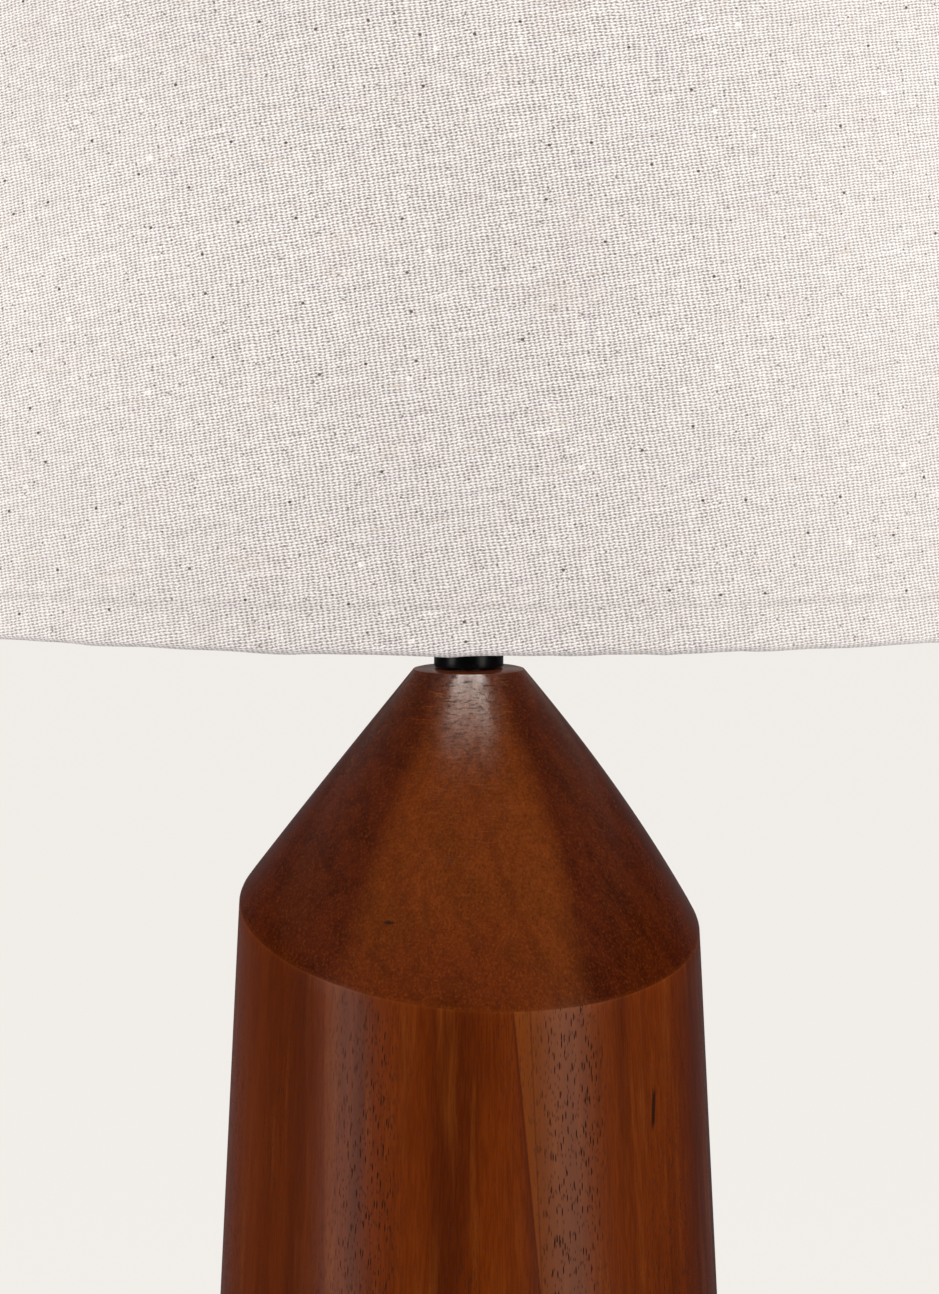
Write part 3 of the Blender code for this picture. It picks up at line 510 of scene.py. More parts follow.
def make_finishes():
    tints = colours()
    return {
        "hub": hub_wood(),
        "leg": leg_wood(),
        "cloth": cloth(),
        "black": satin_metal("satin_black_paint", tints.black, 0.28, 0.0, gloss=0.16),
        "brass": satin_metal("satin_brass", tints.brass, 0.30, 1.0, 0.12),
        "steel": satin_metal("zinc_plated_steel", tints.steel, 0.38, 1.0, 0.12),
        "wire": grained_plastic("white_powder_coat", tints.white, 0.45, 1400.0),
        "liner": grained_plastic("white_liner_sheet", tints.white, 0.62, 500.0),
        "rubber": grained_plastic("black_rubber", tints.rubber, 0.72, 1100.0, 0.00005),
        "porcelain": grained_plastic("glazed_porcelain", tints.white, 0.22, 300.0),
        "opal": grained_plastic("opal_bulb", tints.white, 0.34, 200.0, 0.00001),
    }


FINISHES = {}


def finish_of(name):
    if not FINISHES:
        FINISHES.update(make_finishes())
    return FINISHES[name]


# ---------------------------------------------------------------- modelling


def start_clean():
    if bpy.context.mode != "OBJECT":
        bpy.ops.object.mode_set(mode="OBJECT")
    bpy.ops.object.select_all(action="DESELECT")


def select_only(piece):
    start_clean()
    piece.select_set(True)
    bpy.context.view_layer.objects.active = piece


def lathe(name, profile, steps=96, closed=False):
    """Draws a profile of (radius, height) by extruding a point, and spins it about the lamp's axis."""
    start_clean()
    points = profile + profile[:1] if closed else profile
    bpy.ops.mesh.primitive_plane_add(size=0.001, location=(0.0, 0.0, 0.0))
    piece = bpy.context.object
    piece.name = piece.data.name = name
    bpy.ops.object.mode_set(mode="EDIT")
    bpy.ops.mesh.merge(type="CENTER")
    bpy.ops.transform.translate(value=(points[0][0], 0.0, points[0][1]))
    for (radius, height), (next_radius, next_height) in zip(points, points[1:]):
        move = {"value": (next_radius - radius, 0.0, next_height - height)}
        bpy.ops.mesh.extrude_region_move(TRANSFORM_OT_translate=move)
    bpy.ops.mesh.select_all(action="SELECT")
    bpy.ops.mesh.spin(steps=steps, angle=FULL_TURN, center=(0.0, 0.0, 0.0), axis=(0.0, 0.0, 1.0))
    bpy.ops.mesh.select_all(action="SELECT")
    bpy.ops.mesh.remove_doubles(threshold=SAME_POINT)
    bpy.ops.mesh.normals_make_consistent(inside=False)
    bpy.ops.object.mode_set(mode="OBJECT")
    return piece


def apply_all(piece):
    select_only(piece)
    for modifier in list(piece.modifiers):
        bpy.ops.object.modifier_apply(modifier=modifier.name)


def soften(piece, width, segments=3, angle=30.0):
    bevel = piece.modifiers.new("soft_edges", "BEVEL")
    bevel.width = width
    bevel.segments = segments
    bevel.limit_method = "ANGLE"
    bevel.angle_limit = math.radians(angle)
    apply_all(piece)


def settle(piece, body, look, stands_for=(), angle=40.0):
    """Applies a piece's place, smooths it, and gives it its finish and its body."""
    select_only(piece)
    bpy.ops.object.transform_apply(location=True, rotation=True, scale=True)
    bpy.ops.object.shade_smooth_by_angle(angle=math.radians(angle))
    piece.data.materials.clear()
    piece.data.materials.append(finish_of(look))
    if stands_for:
        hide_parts(*stands_for)
    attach(piece, body)
    return piece


def tube(outer, inner, bottom, top, edge=0.0):
    if not edge:
        return [(outer, top), (outer, bottom), (inner, bottom), (inner, top)]
    return [
        (outer - edge, top), (outer, top - edge), (outer, bottom + edge), (outer - edge, bottom),
        (inner, bottom), (inner, top)]


def dress(nodes, look):
    """Gives CAD nodes that stay in view their finish."""
    for node in nodes:
        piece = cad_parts[node]
        piece.data.materials.clear()
        piece.data.materials.append(finish_of(look))


def arc(centre, radius, start, end, steps):
    """Points of (radius, height) along an arc, angles in degrees from outwards."""
    points = []
    for step in range(steps + 1):
        angle = math.radians(start + (end - start) * step / steps)
        points.append((centre[0] + radius * math.cos(angle), centre[1] + radius * math.sin(angle)))
    return points


# ---------------------------------------------------------------- hub


def hub_profile():
    """Closed profile of the straight blank: bore, flat top, cone, column, underside and nut pocket."""
    size = sizes()
    shoulder = HUB_TOP - size.shoulder_depth
    pocket, pocket_top = 0.0150, HUB_BOTTOM + 0.034
    edge = 0.0011
    top = [
        (PIPE_BORE, HUB_TOP), (size.flat_radius - 1.6 * edge, HUB_TOP),
        (size.flat_radius - 0.7 * edge, HUB_TOP - 0.25 * edge), (size.flat_radius, HUB_TOP - 1.1 * edge)]
    start_radius, start_height = top[-1]
    cone_rings = 22
    cone = []
    for ring in range(1, cone_rings):
        share = ring / cone_rings
        bulge = size.cone_bulge * 4.0 * share * (1.0 - share)
        radius = start_radius + (size.shoulder_radius - start_radius) * share + bulge
        cone.append((radius, start_height + (shoulder - start_height) * share))
    crisp = 0.00035
    column = [
        (size.shoulder_radius - crisp * 0.6, shoulder + crisp * 0.6),
        (size.shoulder_radius, shoulder - crisp)]
    column_rings = 24
    for ring in range(1, column_rings):
        height = shoulder + (HUB_BOTTOM + edge - shoulder) * ring / column_rings
        column.append((size.shoulder_radius + size.column_flare * (shoulder - height), height))
    foot = size.shoulder_radius + size.column_flare * (shoulder - HUB_BOTTOM)
    base = [
        (foot, HUB_BOTTOM + 1.2 * edge), (foot - 0.3 * edge, HUB_BOTTOM + 0.3 * edge),
        (foot - 1.2 * edge, HUB_BOTTOM), (pocket, HUB_BOTTOM), (pocket, pocket_top),
        (PIPE_BORE, pocket_top)]
    return top + cone + column + base


def slant_shoulder(piece):
    """Moves the blank's points so that the level shoulder becomes a slanted one."""
    size = sizes()
    middle = HUB_TOP - size.shoulder_depth
    rise, fall = math.tan(size.shoulder_rise), math.tan(size.shoulder_fall)
    bore_wall, outer_wall = 0.0056, 0.020
    for point in piece.data.vertices:
        x, y, z = point.co
        radius = math.hypot(x, y)
        if radius < bore_wall or (z < middle and radius < outer_wall):
            continue
        azimuth = math.atan2(y, x)
        slope = rise * math.sin(azimuth) - fall * math.cos(azimuth)
        ring = size.shoulder_radius / (1.0 + size.column_flare * slope)
        shift = slope * ring
        if z <= middle:
            share = (z - HUB_BOTTOM) / (middle - HUB_BOTTOM)
            height = z + share * shift
            growth = size.column_flare * (z - height)
            new_radius = radius + growth
        else:
            share = (HUB_TOP - z) / (HUB_TOP - middle)
            height = z + share * shift
            extra = size.cone_bulge_right * math.cos(azimuth) * 4.0 * share * (1.0 - share)
            new_radius = radius + (ring - size.shoulder_radius) * share + extra
        point.co = (x * new_radius / radius, y * new_radius / radius, height)


class LAMP_OT_hub(bpy.types.Operator):
    """Turn the wooden hub: flat top, cone, slanted shoulder and flared column"""

    bl_idname = "lamp.hub"
    bl_label = "Hub"

    def execute(self, context):
        hub = lathe("turned_hub", hub_profile(), 256, closed=True)
        slant_shoulder(hub)
        start_clean()
        seat, seat_radius, reach = 0.0640, 0.0080, 0.02
        bpy.ops.mesh.primitive_cylinder_add(
            vertices=48, radius=seat_radius, depth=reach, rotation=(math.pi / 2, 0.0, 0.0),
            location=(0.0, seat + reach / 2, (low("cord_grommet").z + high("cord_grommet").z) / 2))
        cutter = bpy.context.object
        cut = hub.modifiers.new("grommet_seat", "BOOLEAN")
        cut.operation = "DIFFERENCE"
        cut.object = cutter
        apply_all(hub)
        bpy.data.objects.remove(cutter)
        settle(hub, "stand", "hub", ["hub"], 24.0)
        return {"FINISHED"}


# ---------------------------------------------------------------- legs and feet


LEG_AZIMUTHS = [math.radians(angle) for angle in (-90.0, 30.0, 150.0)]
LEG_TOP_CIRCLE = 0.042
LEG_FOOT_CIRCLE = 0.187
LEG_TOP_RADIUS = 0.0180
LEG_FOOT_RADIUS = 0.0115


def keep_grain(piece, offset):
    """Stores each point's place before the leg is leant, so that the grain follows the leg."""
    grain = piece.data.attributes.new("grain", "FLOAT_VECTOR", "POINT")
    for point, stored in zip(piece.data.vertices, grain.data):
        stored.vector = point.co + offset


def make_leg(index, azimuth):
    splay = math.atan2(LEG_FOOT_CIRCLE - LEG_TOP_CIRCLE, HUB_BOTTOM)
    length = HUB_BOTTOM / math.cos(splay)
    spare = 0.010
    taper = (LEG_TOP_RADIUS - LEG_FOOT_RADIUS) / length
    bottom, top = -length - spare, spare
    rings = 12
    profile = []
    for ring in range(rings + 1):
        height = top + (bottom - top) * ring / rings
        profile.append((LEG_TOP_RADIUS + taper * height, height))
    profile = [(0.0, top)] + profile + [(0.0, bottom)]
    leg = lathe(f"turned_leg_{index}", profile, 72)
    keep_grain(leg, Vector((0.31 * index, 0.17 * index, 0.0)))
    leg.rotation_euler = (0.0, -splay, azimuth)
    leg.location = (LEG_TOP_CIRCLE * math.cos(azimuth), LEG_TOP_CIRCLE * math.sin(azimuth), HUB_BOTTOM)
    select_only(leg)
    bpy.ops.object.transform_apply(location=True, rotation=True, scale=True)
    bpy.ops.object.mode_set(mode="EDIT")
    for height, keep_below in ((HUB_BOTTOM - GAP, True), (high_of_pad(index) + GAP, False)):
        bpy.ops.mesh.select_all(action="SELECT")
        bpy.ops.mesh.bisect(
            plane_co=(0.0, 0.0, height), plane_no=(0.0, 0.0, 1.0), use_fill=True,
            clear_outer=keep_below, clear_inner=not keep_below)
    bpy.ops.object.mode_set(mode="OBJECT")
    soften(leg, 0.0008, 2, 50.0)
    settle(leg, "stand", "leg", [f"leg_{index}"], 35.0)


def high_of_pad(index):
    """Top of a foot pad's disc, under its pin."""
    return low(f"leg_{index}").z - GAP


def make_pad(index, azimuth):
    top, radius, edge, roll = high_of_pad(index), 0.0118, 0.0006, 0.0016
    profile = [(0.0, top), (radius - edge, top), (radius, top - edge)]
    profile += arc((radius - roll, roll), roll, 0.0, -90.0, 4)
    profile += [(0.0075, 0.0), (0.0070, 0.0007), (0.0, 0.0007)]
    pad = lathe(f"foot_glide_{index}", profile, 48)
    pad.location = (LEG_FOOT_CIRCLE * math.cos(azimuth), LEG_FOOT_CIRCLE * math.sin(azimuth), 0.0)
    settle(pad, "stand", "rubber", [f"foot_pad_{index}"])


class LAMP_OT_legs(bpy.types.Operator):
    """Turn the three tapered legs, lean them and cut them level; add their glides"""

    bl_idname = "lamp.legs"
    bl_label = "Legs and feet"

    def execute(self, context):
        for index, azimuth in enumerate(LEG_AZIMUTHS, start=1):
            make_leg(index, azimuth)
            make_pad(index, azimuth)
        return {"FINISHED"}


# ---------------------------------------------------------------- neck, plate and inlet


class LAMP_OT_fittings(bpy.types.Operator):
    """Make the black neck, the base plate and the cord inlet"""

    bl_idname = "lamp.fittings"
    bl_label = "Neck and fittings"

    def execute(self, context):
        bottom, top = low("neck").z, high("neck").z
        neck = lathe("black_neck", tube(NECK_RADIUS, PIPE_BORE, bottom, top), 96, closed=True)
        soften(neck, 0.0005, 3)
        settle(neck, "stand", "black", ["neck"])
        plate_low, plate_high = low("base_plate").z, high("base_plate").z
        radius = 0.0220
        disc = [(0.0, plate_high), (radius, plate_high), (radius, plate_low), (0.0, plate_low)]
        plate = lathe("underside_plate", disc, 72)
        soften(plate, 0.0004, 2)
        settle(plate, "stand", "steel", ["base_plate"])
        self.make_inlet()
        dress([f"plate_screw_{index}" for index in range(1, LEGS + 1)], "steel")
        return {"FINISHED"}

    def make_inlet(self):
        depth = 0.012
        seat, face = low("cord_grommet").y + depth, high("cord_grommet").y
        lip, stem, hole, tail = 0.0012, 0.0042, 0.0028, seat - depth
        profile = [(0.0036, face), (0.0058, face)] + arc((0.0058, face - lip), lip, 90.0, 0.0, 4)
        profile += [(0.0070, seat), (stem, seat), (stem, tail), (hole, tail), (hole, face - 0.0009)]
        inlet = lathe("cord_inlet", profile, 48, closed=True)
        inlet.rotation_euler = (-math.pi / 2, 0.0, 0.0)
        inlet.location = (0.0, 0.0, (low("cord_grommet").z + high("cord_grommet").z) / 2)
        settle(inlet, "stand", "rubber", ["cord_grommet"])


# ---------------------------------------------------------------- socket, switch and bulb


class LAMP_OT_socket(bpy.types.Operator):
    """Make the socket's cap and shell and its turn knob"""

    bl_idname = "lamp.socket"
    bl_label = "Socket"

    def execute(self, context):
        outer, wall = high("socket_shell").x, 0.0011
        inner = outer - wall
        bottom, join = low("socket_cap").z, high("socket_cap").z
        bend, waist, centre = 0.0090, 0.0085, (outer - 0.0090, bottom + 0.0100)
        profile = [(inner, join), (outer, join)]
        profile += arc(centre, bend, 0.0, -78.0, 8)
        profile += [(waist, bottom), (PIPE_BORE, bottom), (PIPE_BORE, bottom + wall), (waist, bottom + wall)]
        profile += arc(centre, bend - wall, -78.0, 0.0, 8)
        cap = lathe("socket_base", profile, 72, closed=True)
        settle(cap, "stand", "black", ["socket_cap"])
        low_end, high_end = low("socket_shell").z, high("socket_shell").z
        lip, foot = outer + 0.0004, outer + 0.0003
        rim = [(inner, high_end), (inner + 0.0002, high_end + 0.0003), (outer, high_end + 0.0003)]
        rim += [(lip, high_end), (lip, high_end - 0.0010), (outer, high_end - 0.0014)]
        rim += [(outer, low_end + 0.0030), (foot, low_end + 0.0024), (foot, low_end), (inner, low_end)]
        shell = lathe("socket_sleeve", rim, 72, closed=True)
        settle(shell, "stand", "black", ["socket_shell"])
        self.make_knob()
        dress(["socket_insulator"], "porcelain")
        dress(["screw_shell", "centre_contact"], "brass")
        return {"FINISHED"}

    def make_knob(self):
        corner_low, corner_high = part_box("switch_knob")
        start, end = -corner_high.y, -corner_low.y
        face, radius, shaft = 0.0205, 0.0055, 0.0022
        profile = [(0.0, end - 0.0006), (0.0018, end - 0.0005), (radius - 0.0010, end)]
        profile += arc((radius - 0.0008, end - 0.0008), 0.0008, 80.0, 0.0, 3)
        profile += [(radius - 0.0002, face + 0.0008), (radius - 0.0010, face), (shaft, face)]
        profile += [(shaft, start), (0.0, start)]
        knob = lathe("turn_knob", profile, 48)
        flutes, depth = 12, 0.00045
        for point in knob.data.vertices:
            radius_here = math.hypot(point.co.x, point.co.y)
            if radius_here > radius - 0.0009 and point.co.z > face + 0.0004:
                wave = 0.5 - 0.5 * math.cos(flutes * math.atan2(point.co.y, point.co.x))
                point.co.xy *= 1.0 - depth * wave / radius_here
        knob.rotation_euler = (math.pi / 2, 0.0, 0.0)
        knob.location = (0.0, 0.0, (corner_low.z + corner_high.z) / 2)
        settle(knob, "knob", "black", ["switch_knob"])


class LAMP_OT_bulb(bpy.types.Operator):
    """Make the screw cap, housing and opal dome of the bulb"""

    bl_idname = "lamp.bulb"
    bl_label = "Bulb"

    def execute(self, context):
        bottom, top = low("bulb_cap").z, high("bulb_cap").z
        radius = high("bulb_cap").x
        turns, rows = 6, 8
        thread_low, thread_high = bottom + 0.0060, top - 0.0020
        ridge = 0.0006
        profile = [(0.0, top), (radius - ridge, top), (radius - ridge, thread_high)]
        for row in range(turns * rows + 1):
            share = row / (turns * rows)
            height = thread_high + (thread_low - thread_high) * share
            profile.append((radius - ridge + ridge * math.sin(FULL_TURN * share * turns), height))
        profile += [(0.0085, bottom + 0.0025), (0.0050, bottom + 0.0012), (0.0045, bottom), (0.0, bottom)]
        cap = lathe("screw_cap", profile, 64)
        settle(cap, "bulb", "steel", ["bulb_cap"], 60.0)
        base, rim = low("bulb_housing").z, high("bulb_housing").z
        widest, edge = 0.0262, 0.0008
        body = [(0.0, rim), (widest, rim)] + arc((widest, rim - edge), edge, 90.0, 0.0, 3)
        body += [(widest, rim - 0.0040), (0.0240, rim - 0.0110), (0.0205, rim - 0.0180)]
        body += [(0.0170, rim - 0.0245), (0.0148, base + 0.0014), (0.0141, base), (0.0, base)]
        housing = lathe("bulb_body", body, 72)
        settle(housing, "bulb", "liner", ["bulb_housing"], 50.0)
        dome_low, dome_high = low("bulb_dome").z, high("bulb_dome").z
        big = high("bulb_dome").x
        centre = dome_high - big
        start = math.degrees(math.asin((dome_low - centre) / big))
        outside = arc((0.0, centre), big, 90.0, start, 22)
        thick = 0.0012
        inside = arc((0.0, centre), big - thick, start + 1.2, 90.0, 22)
        outside[0] = (0.0, outside[0][1])
        inside[-1] = (0.0, inside[-1][1])
        dome = lathe("opal_dome", outside + inside, 72)
        settle(dome, "bulb", "opal", ["bulb_dome"], 50.0)
        return {"FINISHED"}


# ---------------------------------------------------------------- harp, saddle and finial


HARP_WIRE_RADIUS = 0.0016
HARP_HALF_WIDTH = 0.058
HARP_FOOT_X = 0.0235


def bent_wire(name, path, radius):
    """A round wire along (point, handle) pairs, made a mesh."""
    start_clean()
    bpy.ops.curve.primitive_bezier_curve_add(location=(0.0, 0.0, 0.0))
    wire = bpy.context.object
    wire.name = wire.data.name = name
    curve = wire.data
    curve.dimensions = "3D"
    curve.bevel_depth = radius
    curve.bevel_resolution = 4
    curve.resolution_u = 20
    curve.use_fill_caps = True
    spline = curve.splines[0]
    spline.bezier_points.add(len(path) - len(spline.bezier_points))
    for point, (place, handle) in zip(spline.bezier_points, path):
        point.handle_left_type = point.handle_right_type = "FREE"
        place, handle = Vector(place), Vector(handle)
        point.co = place
        point.handle_left = place - handle
        point.handle_right = place + handle
    bpy.ops.object.convert(target="MESH")
    bpy.ops.object.mode_set(mode="EDIT")
    bpy.ops.mesh.select_all(action="SELECT")
    bpy.ops.mesh.remove_doubles(threshold=SAME_POINT)
    bpy.ops.mesh.normals_make_consistent(inside=False)
    bpy.ops.object.mode_set(mode="OBJECT")
    return bpy.context.object


class LAMP_OT_harp(bpy.types.Operator):
    """Bend the harp, make its post, sleeves and the finial, and finish the saddle"""

    bl_idname = "lamp.harp"
    bl_label = "Harp and finial"

    def execute(self, context):
        foot, top_z = low("harp").z, high("harp").z - HARP_WIRE_RADIUS
        half = [
            ((HARP_FOOT_X, 0.0, foot), (0.0, 0.0, 0.006)),
            ((HARP_FOOT_X, 0.0, foot + 0.020), (0.0, 0.0, 0.010)),
            ((HARP_HALF_WIDTH, 0.0, foot + 0.095), (0.0, 0.0, 0.035)),
            ((0.030, 0.0, top_z - 0.010), (-0.012, 0.0, 0.009)),
        ]
        middle = [((0.0, 0.0, top_z), (-0.012, 0.0, 0.0))]
        mirrored = [((-x, y, z), (dx, dy, -dz)) for (x, y, z), (dx, dy, dz) in half[::-1]]
        harp = bent_wire("bowed_harp", half + middle + mirrored, HARP_WIRE_RADIUS)
        settle(harp, "stand", "brass", ["harp"])
        self.make_post()
        self.make_sleeves()
        self.make_finial()
        dress(["harp_saddle"], "steel")
        return {"FINISHED"}

    def make_post(self):
        bottom, top = low("harp_post").z, high("harp_post").z
        profile = [(0.0, top), (0.0022, top), (0.0029, top - 0.0008)]
        threads, start, end, flange = 16, top - 0.0012, bottom + 0.0030, 0.0060
        for row in range(threads * 4 + 1):
            share = row / (threads * 4)
            radius = 0.0028 + 0.0002 * math.cos(FULL_TURN * share * threads)
            profile.append((radius, start + (end - start) * share))
        profile += [(0.0026, bottom + 0.0022), (flange - 0.0004, bottom + 0.0020)]
        profile += [(flange, bottom + 0.0016), (flange, bottom), (0.0, bottom)]
        post = lathe("harp_stud", profile, 48)
        settle(post, "stand", "brass", ["harp_post"], 60.0)

    def make_sleeves(self):
        for index, body in ((1, "harp_sleeve_left"), (2, "harp_sleeve_right")):
            corner_low, corner_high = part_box(f"harp_sleeve_{index}")
            tall = corner_high.z - corner_low.z
            bore, waist, bead = 0.0025, 0.0031, 0.0034
            wall = [(bore, tall), (waist, tall), (bead, tall - 0.0004), (bead, tall - 0.0016)]
            wall += [(waist, tall - 0.0020), (waist, 0.0020), (bead, 0.0016), (bead, 0.0004)]
            wall += [(waist, 0.0), (bore, 0.0)]
            sleeve = lathe(f"lock_sleeve_{index}", wall, 40, closed=True)
            sleeve.location = ((corner_low.x + corner_high.x) / 2, 0.0, corner_low.z)
            settle(sleeve, body, "brass", [f"harp_sleeve_{index}"])

    def make_finial(self):
        base, top = low("finial").z, high("finial").z
        ball = 0.0085
        profile = arc((0.0, top - ball), ball, 90.0, -48.0, 16)
        profile[0] = (0.0, top)
        bore, bore_end = 0.0034, base + 0.0160
        profile += [(0.0048, base + 0.0070), (0.0046, base + 0.0050), (0.0056, base + 0.0034)]
        profile += [(0.0072, base + 0.0026), (0.0076, base + 0.0018), (0.0074, base)]
        profile += [(bore, base), (bore, bore_end), (0.0, bore_end)]
        finial = lathe("ball_finial", profile, 64)
        settle(finial, "finial", "brass", ["finial"], 50.0)


# ---------------------------------------------------------------- shade


SHADE_TOP_RADIUS = 0.171
SHADE_MIDDLE = (SHADE_TOP + SHADE_BOTTOM) / 2
SHADE_SLOPE = (SHADE_RIM_RADIUS - SHADE_TOP_RADIUS) / (SHADE_TOP - SHADE_BOTTOM)
CONE_SINE = SHADE_SLOPE / math.sqrt(1.0 + SHADE_SLOPE ** 2)
GRAIN_AZIMUTH = math.radians(-8.0)
SEAM_AZIMUTH = GRAIN_AZIMUTH + math.pi
RIM_DROP = 0.0008
CLOTH_THICKNESS = 0.0006
LAP_WIDTH, LAP_THICKNESS = 0.0090, 0.0007
SPARE_LAP = 0.012
TURNED_OVER_RING = 0.007
RING_WIRE_RADIUS, ARM_WIRE_RADIUS = 0.0015, 0.0014


def wall_radius(height):
    return SHADE_RIM_RADIUS - SHADE_SLOPE * (height - SHADE_BOTTOM)


def cloth_profile():
    """From the top hem's free end, over the ring, down the outside, under and up to the lower hem's end."""
    size = sizes()
    roll = 0.0017
    top, bottom = SHADE_TOP, SHADE_BOTTOM - RIM_DROP
    ring_top, ring_bottom = wall_radius(top) - 0.0062, wall_radius(bottom) - 0.0066
    points = [(ring_top, top - size.hem_height), (ring_top, top - 0.0045)]
    points += arc((ring_top + roll, top - roll), roll, 180.0, 90.0, 4)
    points += arc((wall_radius(top) - roll - 0.0001, top - roll), roll, 90.0, 4.0, 5)
    rings = 44
    start, end = top - 0.0030, bottom + 0.0030
    for ring in range(rings + 1):
        height = start + (end - start) * ring / rings
        points.append((wall_radius(height), height))
    points += arc((wall_radius(bottom) - roll, bottom + roll), roll, -6.0, -90.0, 5)
    points += arc((ring_bottom + roll, bottom + roll), roll, -90.0, -180.0, 4)
    points += [(ring_bottom, bottom + 0.0050), (ring_bottom - 0.0002, bottom + size.hem_height)]
    return points


def cut_coordinates(piece):
    """Lays the cloth's own flat cut, in metres, into a UV map: an arc of a ring, wrapped at the seam."""
    mesh = piece.data
    layer = mesh.uv_layers.new(name="cut")
    apex = SHADE_BOTTOM + SHADE_RIM_RADIUS / SHADE_SLOPE
    lean = math.sqrt(1.0 + SHADE_SLOPE ** 2)
    for face in mesh.polygons:
        middle = math.atan2(face.center.y, face.center.x) - GRAIN_AZIMUTH
        middle = math.remainder(middle, FULL_TURN)
        for corner in face.loop_indices:
            x, y, z = mesh.vertices[mesh.loops[corner].vertex_index].co
            turn = middle + math.remainder(math.atan2(y, x) - GRAIN_AZIMUTH - middle, FULL_TURN)
            inset = max(0.0, wall_radius(z) - math.hypot(x, y))
            reach = (apex - z) * lean + (inset if z < SHADE_MIDDLE else -inset)
            flat = turn * CONE_SINE
            layer.data[corner].uv = (reach * math.sin(flat), reach * math.cos(flat))


def face_outwards(piece):
    """Turns an open wall's faces so that the outer wall looks away from the axis."""
    widest = max(piece.data.polygons, key=lambda face: face.area)
    if widest.normal.xy.dot(widest.center.xy) > 0.0:
        return
    select_only(piece)
    bpy.ops.object.mode_set(mode="EDIT")
    bpy.ops.mesh.select_all(action="SELECT")
    bpy.ops.mesh.flip_normals()
    bpy.ops.object.mode_set(mode="OBJECT")


def thicken(piece, thickness):
    """Gives an open wall its thickness on the inside."""
    solid = piece.modifiers.new("cloth_thickness", "SOLIDIFY")
    solid.thickness = thickness
    solid.offset = -1.0
    apply_all(piece)


def pull_cloth(piece):
    """Small waves of hand-laid cloth: a wandering rim and a barely uneven wall."""
    half = (SHADE_TOP - SHADE_BOTTOM) / 2
    for point in piece.data.vertices:
        x, y, z = point.co
        around = Vector((x, y, 0.0)).normalized()
        edge = max(0.0, (abs(z - SHADE_MIDDLE) / half - 0.90) / 0.10)
        side = -1.0 if z < SHADE_MIDDLE else 1.0
        ripple = noise.noise(around * 16.0 + Vector((0.0, 0.0, side * 9.0))) * 0.00045
        ripple += noise.noise(around * 60.0 + Vector((5.0, 0.0, side * 4.0))) * 0.00018
        tilt = 0.0010 * max(0.0, -x / 0.105) ** 2 if side < 0.0 else 0.0
        wall = noise.noise(Vector((around.x * 6.0, around.y * 6.0, z * 14.0))) * 0.00025
        out = around * wall
        point.co += Vector((out.x, out.y, (ripple + min(tilt, 0.0012)) * edge))


def make_lap():
    """The cloth's overlapped joint: a narrow strip standing just proud of the wall."""
    start_clean()
    proud = 0.0006
    bottom, top = SHADE_BOTTOM + 0.0012, SHADE_TOP - 0.0016
    columns, rows = 4, 24
    bpy.ops.mesh.primitive_grid_add(x_subdivisions=columns, y_subdivisions=rows, size=2.0)
    lap = bpy.context.object
    lap.name = lap.data.name = "shade_lap"
    for point in lap.data.vertices:
        height = bottom + (top - bottom) * (point.co.y + 1.0) / 2.0
        radius = wall_radius(height) + proud * (1.0 - 0.75 * abs(point.co.x))
        azimuth = SEAM_AZIMUTH + point.co.x * LAP_WIDTH / 2.0 / radius
        point.co = (radius * math.cos(azimuth), radius * math.sin(azimuth), height)
    face_outwards(lap)
    cut_coordinates(lap)
    thicken(lap, LAP_THICKNESS)
    settle(lap, "shade", "cloth", (), 50.0)
    return lap


def make_cloth():
    """Wraps the cloth and works out the size of its flat cut: the cone laid out flat, turned in at both
    edges.
    """
    shade = lathe("shade_cloth", cloth_profile(), 288)
    face_outwards(shade)
    pull_cloth(shade)
    cut_coordinates(shade)
    thicken(shade, CLOTH_THICKNESS)
    settle(shade, "shade", "cloth", ["shade_fabric"], 60.0)
    lap = make_lap()
    turned_in = sizes().hem_height + TURNED_OVER_RING
    outer, inner = SHADE_RIM_RADIUS / CONE_SINE, wall_radius(SHADE_TOP) / CONE_SINE
    half_angle = math.pi * CONE_SINE
    width = 2.0 * (outer + turned_in) * math.sin(half_angle) + SPARE_LAP
    length = outer + turned_in - (inner - turned_in) * math.cos(half_angle)
    area = half_angle * (outer ** 2 - inner ** 2)
    area += FULL_TURN * (SHADE_RIM_RADIUS + wall_radius(SHADE_TOP)) * turned_in


